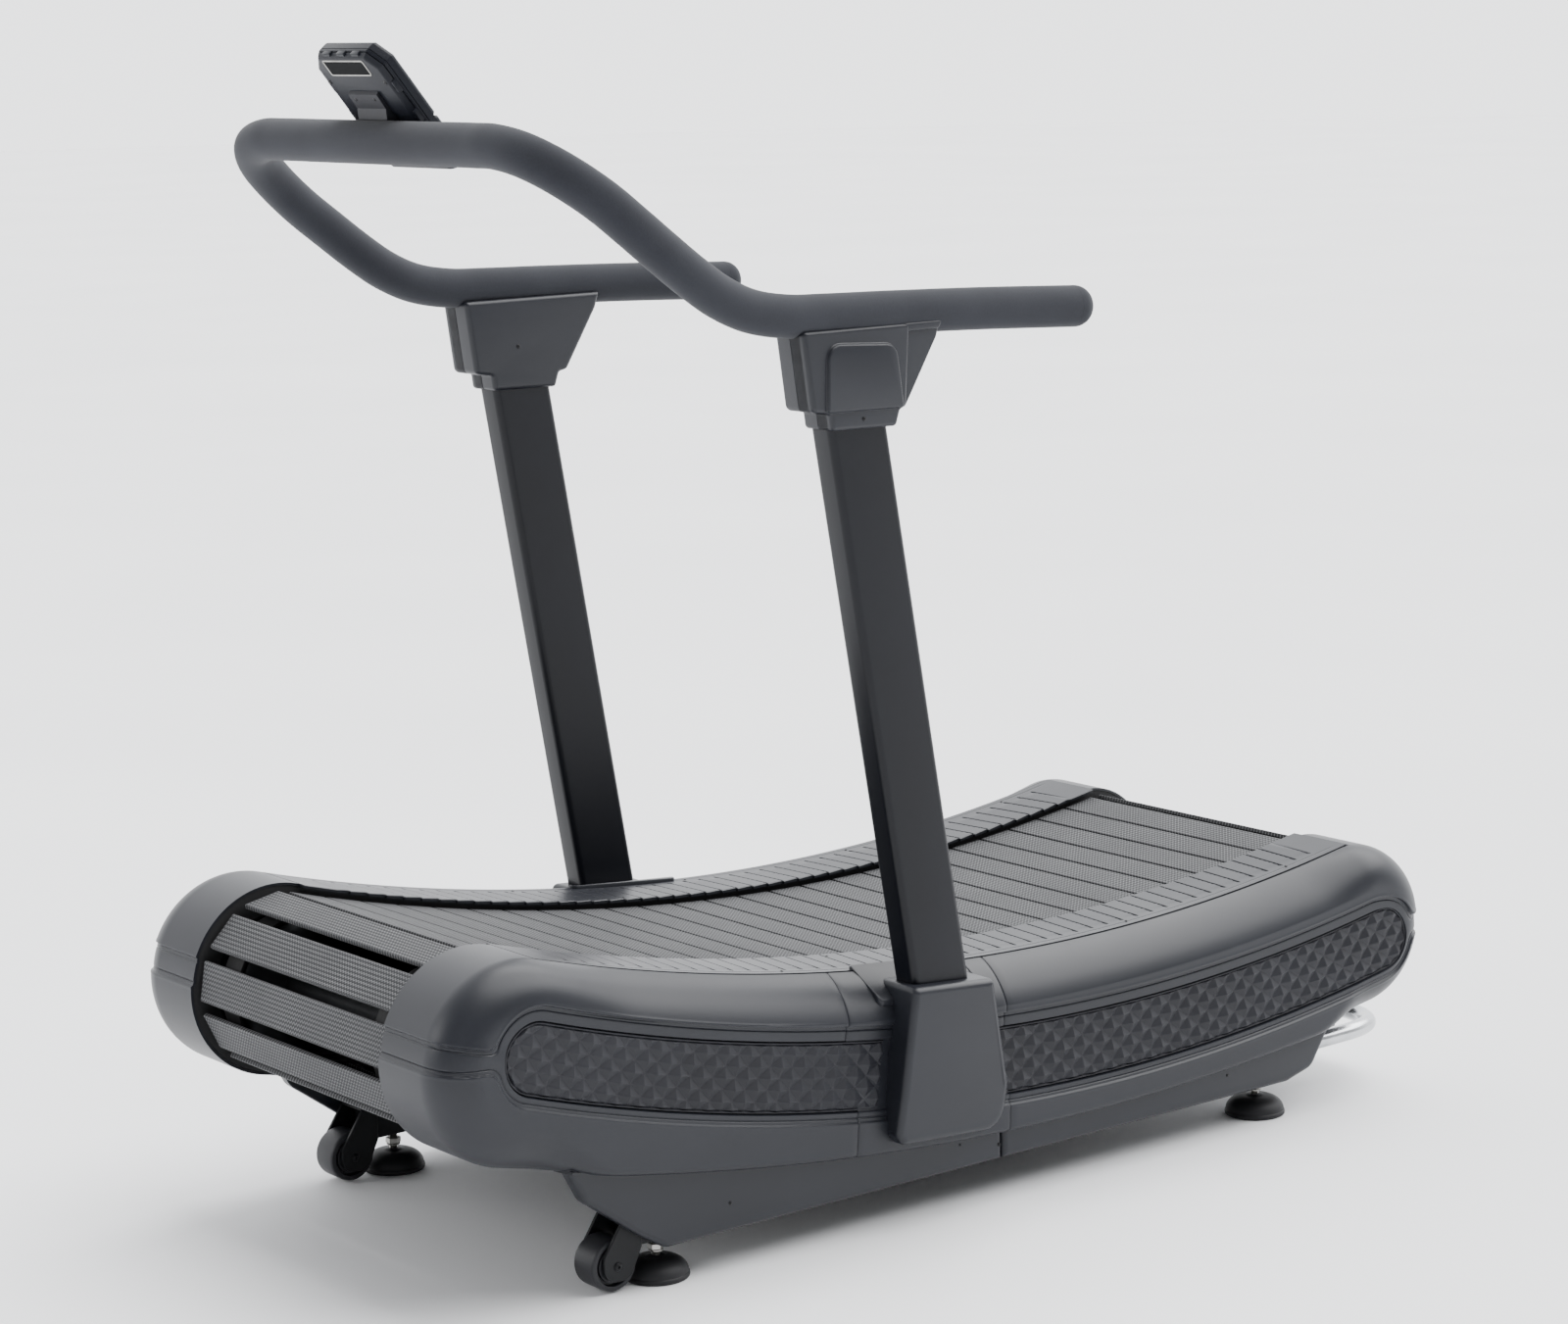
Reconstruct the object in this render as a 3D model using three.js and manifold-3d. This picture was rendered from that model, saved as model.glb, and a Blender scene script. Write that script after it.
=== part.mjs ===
// Curved manual treadmill: a slat belt running round two drums inside a curved frame.
// Millimetres, +Z up, floor at z = 0. -Y is the front (console end), +X is the user's left.
import * as THREE from "three";
import { mergeVertices } from "three/addons/utils/BufferGeometryUtils.js";
import Module from "manifold-3d";

const wasm = await Module();
wasm.setup();

// Belt loop: two drums joined by a concave top run and a hanging lower run.
// A drum's radius is measured to the faces of the slats that pass round it.
const DRUM_FRONT = { y: -744.5, z: 334, radius: 121 };
const DRUM_REAR = { y: 755.5, z: 256, radius: 110 };
const PITCH_DEPTH = 22;
const TOP_RADIUS = 3200;
const LOW_RADIUS = 4200;
const SLATS = 60;
const FIRST_SLAT = 13;
const SLAT_HALF = 226;
const SLAT_WIDTH = 55;
const BELT_X = [168, 208];

// Side covers, foot strips and skirts.
const COVER_OFFSET = 12;
const COVER_OUT = 388;
const COVER_RIM = 235;
const COVER_WALL = 4;
const SHOULDER = 58;
const STRIP_X = [222, 330];
const SEAM_FRONT = -236;
const SEAM_REAR = 34;
const SKIRT_OUT = 372;
const SKIRT_BOTTOM = 55;
const GAP = 0.3;

// Inner face of each frame rail, where the cross beams end.
const FRAME_X0 = 297;

// Uprights, handlebar and console.
const UPRIGHT = { x: 382.2, y: -96, z: 332, wide: 43.9, deep: 95.2, wall: 3 };
const RAKE = THREE.MathUtils.degToRad(9.3);
const BAR_X = 388;
const BAR_RADIUS = 19;
const FOAM_RADIUS = 28;
const CROSSBAR = { y: -679, z: 1467 };
const CONSOLE_TILT = THREE.MathUtils.degToRad(38.5);
const CONSOLE = { y: -608.5, z: 1426, wide: 156, tall: 195, thick: 28 };

// Feet and transport wheels.
const FOOT_X = 317;
const FOOT_Y = [-519, 574];
const WHEEL = { y: -600, z: 38, radius: 35, half: 22 };

const finishes = {
  plastic: new THREE.MeshStandardMaterial({ color: 0x3a3d42, roughness: 0.55, metalness: 0 }),
  inlay: new THREE.MeshStandardMaterial({ color: 0x33363c, roughness: 0.6, metalness: 0 }),
  steel: new THREE.MeshStandardMaterial({ color: 0x1c1e21, roughness: 0.4, metalness: 0.3 }),
  foam: new THREE.MeshStandardMaterial({ color: 0x34363b, roughness: 0.95, metalness: 0 }),
  slat: new THREE.MeshStandardMaterial({ color: 0x55575b, roughness: 0.7, metalness: 0.1 }),
  rubber: new THREE.MeshStandardMaterial({ color: 0x18191b, roughness: 0.8, metalness: 0 }),
  zinc: new THREE.MeshStandardMaterial({ color: 0xb9bcc0, roughness: 0.3, metalness: 1 }),
  glass: new THREE.MeshStandardMaterial({ color: 0x0b0d10, roughness: 0.1, metalness: 0 }),
};

const treadmill = new THREE.Group();

function add(name, geometry, finish, parent = treadmill) {
  const mesh = new THREE.Mesh(geometry, finishes[finish]);
  mesh.name = name;
  parent.add(mesh);
  return mesh;
}

// ---- solids and booleans ------------------------------------------------

function toSolid(geometry) {
  let plain = geometry.clone();
  plain.deleteAttribute("normal");
  plain.deleteAttribute("uv");
  plain = mergeVertices(plain, 1e-3);
  const index = plain.index.array;
  const triVerts = new Uint32Array(index);
  const vertProperties = new Float32Array(plain.attributes.position.array);
  return new wasm.Manifold(new wasm.Mesh({ numProp: 3, vertProperties, triVerts }));
}

function toGeometry(solid) {
  const mesh = solid.getMesh();
  const geometry = new THREE.BufferGeometry();
  geometry.setAttribute("position", new THREE.BufferAttribute(mesh.vertProperties, 3));
  geometry.setIndex(new THREE.BufferAttribute(mesh.triVerts, 1));
  return geometry;
}

function join(list) {
  return list.reduce((whole, piece) => whole.add(piece));
}

function cut(body, tools) {
  return tools.reduce((left, tool) => left.subtract(tool), body);
}

// The same shape on the other side of the centre plane, with its faces turned back out.
function mirrored(geometry) {
  const copy = geometry.index ? geometry.toNonIndexed() : geometry.clone();
  const place = copy.attributes.position;
  const flipped = new Float32Array(place.count * 3);
  for (let i = 0; i < place.count; i += 3) {
    for (const [k, from] of [[0, 0], [1, 2], [2, 1]]) {
      flipped[(i + k) * 3] = -place.getX(i + from);
      flipped[(i + k) * 3 + 1] = place.getY(i + from);
      flipped[(i + k) * 3 + 2] = place.getZ(i + from);
    }
  }
  const result = new THREE.BufferGeometry();
  result.setAttribute("position", new THREE.BufferAttribute(flipped, 3));
  return mergeVertices(result, 1e-3);
}

function pair(name, geometry, finish, parent = treadmill) {
  add(`left_${name}`, geometry, finish, parent);
  add(`right_${name}`, mirrored(geometry), finish, parent);
}

// ---- basic shapes ---------------------------------------------------------

function block(x0, x1, y0, y1, z0, z1) {
  const box = new THREE.BoxGeometry(x1 - x0, y1 - y0, z1 - z0);
  return box.translate((x0 + x1) / 2, (y0 + y1) / 2, (z0 + z1) / 2);
}

// A side outline, given as [y, z] points, swept across from x0 to x1.
function sweepAcross(outline, x0, x1, bevel = 0, steps = 3) {
  const shape = new THREE.Shape(outline.map(([y, z]) => new THREE.Vector2(y, z)));
  const depth = x1 - x0 - 2 * bevel;
  const geometry = new THREE.ExtrudeGeometry(shape, {
    depth,
    bevelEnabled: bevel > 0,
    bevelThickness: bevel,
    bevelSize: bevel,
    bevelOffset: -bevel,
    bevelSegments: steps,
    curveSegments: 1,
  });
  const turn = new THREE.Matrix4().makeBasis(
    new THREE.Vector3(0, 1, 0), new THREE.Vector3(0, 0, 1), new THREE.Vector3(1, 0, 0));
  return geometry.applyMatrix4(turn).translate(x0 + bevel, 0, 0);
}

// A turned piece whose axis lies along X; the profile is [radius, x] points.
function turnedAcross(profile, y, z, sides) {
  const lathe = new THREE.LatheGeometry(profile.map(([r, x]) => new THREE.Vector2(r, x)), sides);
  return lathe.rotateZ(-Math.PI / 2).translate(0, y, z);
}

function turnedUp(profile, x, y, sides) {
  const lathe = new THREE.LatheGeometry(profile.map(([r, z]) => new THREE.Vector2(r, z)), sides);
  return lathe.rotateX(Math.PI / 2).translate(x, y, 0);
}

function arc(centre, radius, from, to, count) {
  const curve = new THREE.EllipseCurve(centre.y, centre.z, radius, radius, from, to, to < from);
  return curve.getPoints(count).map((p) => [p.x, p.y]);
}

function roundedRect(wide, tall, corner) {
  const shape = new THREE.Shape();
  const x = wide / 2 - corner;
  const y = tall / 2 - corner;
  shape.absarc(x, y, corner, 0, Math.PI / 2);
  shape.absarc(-x, y, corner, Math.PI / 2, Math.PI);
  shape.absarc(-x, -y, corner, Math.PI, Math.PI * 1.5);
  shape.absarc(x, -y, corner, Math.PI * 1.5, Math.PI * 2);
  return shape;
}

// ---- belt loop geometry -----------------------------------------------------

// Centre of the arc that touches both drums, given its distance from each drum centre.
function arcCentre(toFront, toRear) {
  const dy = DRUM_REAR.y - DRUM_FRONT.y;
  const dz = DRUM_REAR.z - DRUM_FRONT.z;
  const apart = Math.hypot(dy, dz);
  const along = (toFront ** 2 - toRear ** 2 + apart ** 2) / (2 * apart);
  const rise = Math.sqrt(toFront ** 2 - along ** 2);
  return {
    y: DRUM_FRONT.y + (dy * along - dz * rise) / apart,
    z: DRUM_FRONT.z + (dz * along + dy * rise) / apart,
  };
}

const TOP_CENTRE = arcCentre(TOP_RADIUS + DRUM_FRONT.radius, TOP_RADIUS + DRUM_REAR.radius);
const LOW_CENTRE = arcCentre(LOW_RADIUS - DRUM_FRONT.radius, LOW_RADIUS - DRUM_REAR.radius);

function bearing(from, to) {
  return Math.atan2(to.z - from.z, to.y - from.y);
}

const TAU = Math.PI * 2;
const ANGLES = {
  topFront: bearing(TOP_CENTRE, DRUM_FRONT),
  topRear: bearing(TOP_CENTRE, DRUM_REAR),
  frontTop: bearing(DRUM_FRONT, TOP_CENTRE),
  frontLow: bearing(LOW_CENTRE, DRUM_FRONT) + TAU,
  rearLow: bearing(LOW_CENTRE, DRUM_REAR),
  rearTop: bearing(DRUM_REAR, TOP_CENTRE),
  lowFront: bearing(LOW_CENTRE, DRUM_FRONT),
  lowRear: bearing(LOW_CENTRE, DRUM_REAR),
};

// The whole loop outline, pushed out by `offset` from the faces of the slats.
function loopOutline(offset) {
  const front = arc(DRUM_FRONT, DRUM_FRONT.radius + offset, ANGLES.frontTop, ANGLES.frontLow, 10);
  const low = arc(LOW_CENTRE, LOW_RADIUS + offset, ANGLES.lowFront, ANGLES.lowRear, 8);
  const rear = arc(DRUM_REAR, DRUM_REAR.radius + offset, ANGLES.rearLow, ANGLES.rearTop, 10);
  const top = arc(TOP_CENTRE, TOP_RADIUS - offset, ANGLES.topRear, ANGLES.topFront, 10);
  return [...front.slice(0, -1), ...low.slice(0, -1), ...rear.slice(0, -1), ...top.slice(0, -1)];
}

// Height of an arc below its centre at a given y.
function arcHeight(centre, radius, y) {
  return centre.z - Math.sqrt(radius * radius - (y - centre.y) ** 2);
}

// A strip between two heights, each a function of y, as a closed outline.
function strip(y0, y1, lower, upper, count) {
  const ys = Array.from({ length: count + 1 }, (_, i) => y0 + (y1 - y0) * i / count);
  const under = ys.map((y) => [y, lower(y)]);
  const over = ys.slice().reverse().map((y) => [y, upper(y)]);
  return [...under, ...over];
}

const topAt = (depth) => (y) => arcHeight(TOP_CENTRE, TOP_RADIUS + depth, y);
const lowAt = (depth) => (y) => arcHeight(LOW_CENTRE, LOW_RADIUS + depth, y);

// ---- slat belt ----------------------------------------------------------------

// Belt pitch line: four arcs, walked from the nose along the top run and back underneath.
function beltStretches() {
  const { topFront, topRear, frontTop, frontLow, lowFront, lowRear, rearLow, rearTop } = ANGLES;
  const frontPitch = DRUM_FRONT.radius - PITCH_DEPTH;
  const rearPitch = DRUM_REAR.radius - PITCH_DEPTH;
  const top = [TOP_CENTRE, TOP_RADIUS + PITCH_DEPTH, topFront, topRear, -1, 14];
  const low = [LOW_CENTRE, LOW_RADIUS - PITCH_DEPTH, lowRear, lowFront, 1, 14];
  return [
    ["belt_top_run", ...top],
    ["belt_rear_wrap", DRUM_REAR, rearPitch, rearTop, rearLow, 1, 24],
    ["belt_lower_run", ...low],
    ["belt_front_wrap", DRUM_FRONT, frontPitch, frontLow, frontTop, 1, 24],
  ];
}

// The slats keep one pitch all round the loop; each stretch takes the slats centred on it.
function buildBelt() {
  const stretches = beltStretches();
  const lengths = stretches.map(([, , radius, from, to]) => radius * Math.abs(to - from));
  const pitch = lengths.reduce((sum, length) => sum + length) / SLATS;
  let next = FIRST_SLAT;
  stretches.forEach(([name, centre, radius, from, to, outward, steps], i) => {
    const slats = [];
    while (next < lengths[i]) {
      slats.push(from + Math.sign(to - from) * next / radius);
      next += pitch;
    }
    next -= lengths[i];
    add(name, beltStretch(centre, radius, from, to, slats, outward, steps), "slat");
  });
}

// One stretch: two arcs of belt with the slats bolted across them.
function beltStretch(centre, radius, from, to, slats, outward, steps) {
  const trim = 0.5 / radius * Math.sign(to - from);
  const outer = arc(centre, radius + 2.5, from + trim, to - trim, steps);
  const inner = arc(centre, radius - 2.5, to - trim, from + trim, steps);
  const outline = to > from ? [...outer, ...inner] : [...outer, ...inner].reverse();
  const pieces = [-1, 1].map((side) => {
    const xs = side > 0 ? BELT_X : [-BELT_X[1], -BELT_X[0]];
    return toSolid(sweepAcross(outline, xs[0], xs[1]));
  });
  for (const angle of slats) {
    pieces.push(toSolid(slatAt(centre, radius, angle, outward)));
  }
  return toGeometry(join(pieces));
}

// A slat: flat tread plate on a middle rib that is bolted down to the belts.
function slatAt(centre, pitchRadius, angle, outward) {
  const half = SLAT_WIDTH / 2;
  const section = [
    [-half, 15], [-2.8, 15], [-2.8, 1.5], [2.8, 1.5], [2.8, 15], [half, 15],
    [half, PITCH_DEPTH], [-half, PITCH_DEPTH],
  ];
  const slat = sweepAcross(section, -SLAT_HALF, SLAT_HALF);
  const lean = angle - Math.PI / 2 + (outward > 0 ? 0 : Math.PI);
  slat.rotateX(lean);
  return slat.translate(0,
    centre.y + pitchRadius * Math.cos(angle), centre.z + pitchRadius * Math.sin(angle));
}

// Drums: a shaft, a core tube and a wide pulley under each belt.
function buildDrums() {
  add("front_drum", drumAt(DRUM_FRONT), "steel");
  add("rear_drum", drumAt(DRUM_REAR), "steel");
}

function drumAt(drum) {
  const pulley = drum.radius - PITCH_DEPTH - 3.2;
  const half = [
    [38, 150], [pulley, 164], [pulley, 212], [12.5, 216], [12.5, 262], [0, 262],
  ];
  const profile = [...half.map(([r, x]) => [r, -x]).reverse(), ...half];
  return turnedAcross(profile, drum.y, drum.z, 16);
}

// ---- frame inside the loop -------------------------------------------------------

const BEAMS = {
  front: [-545, -485, 250, 290],
  mid: [-140, -80, 190, 230],
  rear: [530, 590, 200, 240],
};

function buildBeams() {
  for (const [name, [y0, y1, z0, z1]] of Object.entries(BEAMS)) {
    add(`${name}_cross_beam`, block(-FRAME_X0 + GAP, FRAME_X0 - GAP, y0, y1, z0, z1), "steel");
  }
}

// Side plates carry the drum shafts; the cross beams pass through them.
function buildSidePlates() {
  const plate = toSolid(sweepAcross(loopOutline(-20), 240, 246));
  const holes = Object.values(BEAMS).map(([y0, y1, z0, z1]) =>
    toSolid(block(230, 256, y0 - GAP, y1 + GAP, z0 - GAP, z1 + GAP)));
  for (const drum of [DRUM_FRONT, DRUM_REAR]) {
    holes.push(toSolid(turnedAcross([[0, 230], [12.9, 230], [12.9, 256], [0, 256]],
      drum.y, drum.z, 16)));
  }
  pair("side_plate", toGeometry(cut(plate, holes)), "steel");
}

// Curved rails with rollers that carry the belts along the top run.
function buildRollerRails() {
  const count = 10;
  const radius = TOP_RADIUS + PITCH_DEPTH + 3.2 + 14;
  const rail = strip(-650, 660, topAt(52), topAt(38), 8);
  const pieces = [toSolid(sweepAcross(rail, 220, 239.6))];
  for (let i = 0; i < count; i += 1) {
    const y = -610 + 1230 * i / (count - 1);
    const z = arcHeight(TOP_CENTRE, radius, y);
    const roller = [[0, 172], [14, 172], [14, 204], [5, 212], [5, 230], [0, 230]];
    pieces.push(toSolid(turnedAcross(roller, y, z, 8)));
  }
  pair("roller_rail", toGeometry(join(pieces)), "steel");
}

// Frame rails: a floor tube with an upright web plate that the beams bolt to.
function buildFrameRails() {
  const x1 = FRAME_X0 + 40;
  const tube = toSolid(block(FRAME_X0, x1, -560, 600, 56, 116));
  const web = toSolid(sweepAcross(strip(-560, 600, () => 60, topAt(90), 12), FRAME_X0, FRAME_X0 + 8));
  const tools = [toSolid(block(FRAME_X0 + 8.5, x1 - 3, -570, 610, 59, 113))];
  for (const y of FOOT_Y) {
    tools.push(toSolid(turnedUp([[0, 40], [6.4, 40], [6.4, 70], [0, 70]], FOOT_X, y, 12)));
  }
  pair("frame_rail", toGeometry(cut(join([tube, web]), tools)), "steel");
}

// ---- side covers -------------------------------------------------------------------

// Outer form of a whole side cover grown by `grow`: rounded shoulder and nose, square foot.
function coverForm(grow) {
  const outline = loopOutline(COVER_OFFSET + grow);
  const rounded = toSolid(sweepAcross(outline, COVER_OUT - 340, COVER_OUT + grow, SHOULDER, 3));
  const low = strip(-735, 745, lowAt(COVER_OFFSET + grow), lowAt(-80), 12);
  const foot = [...low.slice(0, 13), [590, lowAt(-80)(590)], [-560, lowAt(-80)(-560)]];
  const square = toSolid(sweepAcross(foot, COVER_RIM, COVER_OUT + grow, 3, 1));
  return join([rounded, square]);
}

const BAND = { y: 230, z: 3292, radius: 3100, half: 47.5 };

function bandOutline(y0, y1, grow, roundFront, roundRear) {
  const low = (y) => arcHeight(BAND, BAND.radius + BAND.half + grow, y);
  const high = (y) => arcHeight(BAND, BAND.radius - BAND.half - grow, y);
  const half = BAND.half + grow;
  const left = roundFront ? y0 + half : y0;
  const right = roundRear ? y1 - half : y1;
  const body = strip(left, right, low, high, 12);
  const count = body.length / 2;
  const middle = (y) => arcHeight(BAND, BAND.radius, y);
  const rearEnd = roundRear
    ? arc({ y: right, z: middle(right) }, half, -Math.PI / 2, Math.PI / 2, 8).slice(1, -1) : [];
  const frontEnd = roundFront
    ? arc({ y: left, z: middle(left) }, half, Math.PI / 2, Math.PI * 1.5, 8).slice(1, -1) : [];
  return [...body.slice(0, count), ...rearEnd, ...body.slice(count), ...frontEnd];
}

const INLAYS = [
  ["front", -787, -190, true, false],
  ["rear", 14, 824, false, true],
];

function uprightForm(grow, lower, upper) {
  const { x, y, z, wide, deep } = UPRIGHT;
  const box = new THREE.BoxGeometry(wide + 2 * grow, deep + 2 * grow, upper - lower);
  return box.translate(0, 0, (upper + lower) / 2).rotateX(RAKE).translate(x, y, z);
}

function buildCovers() {
  const inner = coverForm(-COVER_WALL);
  const tools = [inner];
  tools.push(toSolid(block(0, COVER_RIM, -1000, 1000, 0, 600)));
  const step = COVER_OFFSET + 6;
  tools.push(toSolid(sweepAcross(strip(-702, 752, topAt(4), topAt(-step), 14),
    COVER_RIM - 20, STRIP_X[1] + GAP)));
  tools.push(toSolid(sweepAcross(strip(-700, 700, lowAt(30), lowAt(-12), 12),
    COVER_RIM - 20, SKIRT_OUT + 2)));
  for (const [, y0, y1, front, rear] of INLAYS) {
    tools.push(toSolid(sweepAcross(bandOutline(y0 - 0.5, y1 + 0.5, 0.6, front, rear), 376, 400)));
  }
  tools.push(toSolid(uprightForm(1.5, -200, 120)));
  const shell = cut(coverForm(0), tools);
  const spans = [
    ["front", -1000, SEAM_FRONT - GAP], ["mid", SEAM_FRONT, SEAM_REAR], ["rear", SEAM_REAR + GAP, 1000],
  ];
  for (const [name, y0, y1] of spans) {
    const piece = shell.intersect(toSolid(block(200, 420, y0, y1, 0, 600)));
    pair(`${name}_cover`, toGeometry(piece), "plastic");
  }
}

function buildInlays() {
  for (const [name, y0, y1, front, rear] of INLAYS) {
    const panel = sweepAcross(bandOutline(y0, y1, 0, front, rear), 376.3, 381.5);
    pair(`${name}_inlay`, panel, "inlay");
  }
}

// Foot strips beside the running surface, stepping over the ends of the slats.
function buildStrips() {
  const outline = strip(-702 + GAP, 752 - GAP, topAt(-8), topAt(-COVER_OFFSET), 16);
  pair("foot_strip", sweepAcross(outline, STRIP_X[0], STRIP_X[1]), "plastic");
}

// Lower skirts hang inside the covers and hide the frame rails.
function skirtOutline(grow) {
  const low = lowAt(-8);
  const nose = [[-700, low(-700)], [-664 - grow, 142], [-582 - grow, 82 - grow],
    [-540 - grow / 2, SKIRT_BOTTOM - grow]];
  const tail = [[590 + grow / 2, SKIRT_BOTTOM - grow], [640 + grow, 68 - grow], [692, low(692)]];
  const top = strip(-700, 692, low, low, 10).slice(0, 11).reverse().slice(1, -1);
  return [...nose, ...tail, ...top];
}

function buildSkirts() {
  const pan = toSolid(sweepAcross(skirtOutline(0), 310, SKIRT_OUT, 6, 2));
  const hollow = toSolid(sweepAcross(skirtOutline(-3), 280, SKIRT_OUT - 3, 6, 2));
  const open = toSolid(sweepAcross(strip(-760, 740, lowAt(-9.5), lowAt(-60), 10), 280, SKIRT_OUT - 3));
  const inside = toSolid(block(280, 349, -800, 800, 0, 400));
  const whole = cut(pan, [hollow, open, inside]);
  const spans = [["front", -900, SEAM_REAR - GAP], ["rear", SEAM_REAR, 900]];
  for (const [name, y0, y1] of spans) {
    const piece = whole.intersect(toSolid(block(280, 400, y0, y1, 0, 400)));
    pair(`${name}_skirt`, toGeometry(piece), "plastic");
  }
}

// ---- uprights, boots and handlebar brackets --------------------------------------

function buildUprights() {
  const { wall } = UPRIGHT;
  const tube = toSolid(uprightForm(0, -184, 868));
  const bore = toSolid(uprightForm(-wall, -200, 900));
  const flange = toSolid(block(305.3, 361.5, -128, -40, 158, 226));
  const clear = toSolid(block(309, 358, -124, -44, 150, 222));
  const body = cut(join([cut(tube, [bore]), cut(flange, [clear])]), [toSolid(barSweep(FOAM_RADIUS + 1.4))]);
  pair("upright", toGeometry(body), "steel");
}

function buildBoots() {
  const outline = [
    [-184, 140], [-172, 124], [-26, 114], [-8, 122], [9, 176], [-20, 330], [-160, 341], [-180, 190],
  ];
  const body = toSolid(sweepAcross(outline, 330, 424, 11, 3));
  const tools = [
    coverForm(GAP),
    toSolid(uprightForm(0.4, -200, 120)),
    toSolid(block(300, 352, -300, 100, 0, 400)),
    toSolid(block(300, 388 + GAP, -300, 100, 0, 240)),
  ];
  pair("upright_boot", toGeometry(cut(body, tools)), "plastic");
}

// Centreline of the handlebar: grips, S-shaped arms and the crossbar between them.
function barPath() {
  const half = [
    [BAR_X, 160, 1220], [BAR_X, 0, 1228], [BAR_X, -160, 1234], [BAR_X, -260, 1237],
    [BAR_X, -324, 1240], [BAR_X, -382, 1251], [BAR_X, -428, 1271], [BAR_X, -468, 1297],
    [BAR_X, -520, 1336], [BAR_X, -560, 1367], [BAR_X - 7, -600, 1400], [BAR_X - 30, -641, 1433],
    [BAR_X - 68, -668, 1456], [BAR_X - 115, -678, 1466], [BAR_X - 160, CROSSBAR.y, CROSSBAR.z],
    [120, CROSSBAR.y, CROSSBAR.z],
  ];
  const whole = [...half, ...half.slice().reverse().map(([x, y, z]) => [-x, y, z])];
  return new THREE.CatmullRomCurve3(whole.map((p) => new THREE.Vector3(...p)), false, "centripetal");
}

// A round tube section as a regular polygon with its corners on the circle.
function ringShape(outer, inner, sides, innerSides = sides) {
  const circle = (r, n) => Array.from({ length: n }, (_, i) => {
    const angle = TAU * (i + 0.5) / n;
    return new THREE.Vector2(r * Math.cos(angle), r * Math.sin(angle));
  });
  const shape = new THREE.Shape(circle(outer, sides));
  if (inner > 0) {
    shape.holes.push(new THREE.Path(circle(inner, innerSides).reverse()));
  }
  return shape;
}

function sweepAlong(shape, path, steps) {
  return new THREE.ExtrudeGeometry(shape, { steps, bevelEnabled: false, extrudePath: path });
}

// A solid rod along one grip, used to shape the parts that hold it.
function barSweep(radius) {
  const points = [[BAR_X, 250, 1215.5], [BAR_X, 0, 1228], [BAR_X, -160, 1234],
    [BAR_X, -260, 1237], [BAR_X, -324, 1240], [BAR_X, -382, 1251], [BAR_X, -428, 1271]];
  const path = new THREE.CatmullRomCurve3(points.map((p) => new THREE.Vector3(...p)), false, "centripetal");
  return sweepAlong(ringShape(radius, 0, 16), path, 14);
}

function buildHandlebar() {
  add("handlebar_tube", sweepAlong(ringShape(BAR_RADIUS, 0, 6), barPath(), 32), "steel");
  const foam = sweepAlong(ringShape(FOAM_RADIUS, BAR_RADIUS + 2.2, 10, 6), barPath(), 32);
  add("handlebar_foam", foam, "foam");
  const dome = [[0, 0], [FOAM_RADIUS, 0], [FOAM_RADIUS, 8], [25, 18], [18, 25], [9, 29], [0, 30]];
  const cap = new THREE.LatheGeometry(dome.map(([r, h]) => new THREE.Vector2(r, h)), 12);
  cap.rotateX(Math.atan2(-8, 160)).translate(BAR_X, 160 + GAP, 1220);
  pair("grip_cap", cap, "foam");
}

// Two-part shells that wrap the head of each upright and cradle the grip above it.
function buildBrackets() {
  const outline = [
    [-318, 1221], [-304, 1117], [-276, 1113], [-273, 1091], [-166, 1089], [-159, 1110],
    [-145, 1113], [-92, 1198], [-84, 1221],
  ];
  const seam = UPRIGHT.x + 3;
  const outer = toSolid(sweepAcross(outline, seam - 30, 415, 6, 2));
  const inner = toSolid(sweepAcross(outline, 354, seam + 30, 6, 2));
  const tools = [toSolid(uprightForm(0.4, 700, 1000)), toSolid(barSweep(FOAM_RADIUS + 1.4))];
  const above = toSolid(block(300, 450, -400, 0, 1216, 1400));
  const halves = [["outer", outer, seam + GAP / 2, 450], ["inner", inner, 300, seam - GAP / 2]];
  for (const [name, body, x0, x1] of halves) {
    const side = body.intersect(toSolid(block(x0, x1, -400, 0, 1000, 1300)));
    pair(`bracket_${name}_shell`, toGeometry(cut(side, [...tools, above])), "plastic");
  }
}

// ---- console ------------------------------------------------------------------

// Flat piece of the console: local x across, z up its face, y out towards the user.
function consolePlate(shape, z, from, to, bevel = 0) {
  const geometry = new THREE.ExtrudeGeometry(shape, {
    depth: to - from - 2 * bevel, bevelEnabled: bevel > 0, bevelThickness: bevel, bevelSize: bevel,
    bevelOffset: -bevel, bevelSegments: 1, curveSegments: 2,
  });
  return geometry.rotateX(Math.PI / 2).translate(0, to - bevel, z);
}

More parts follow.
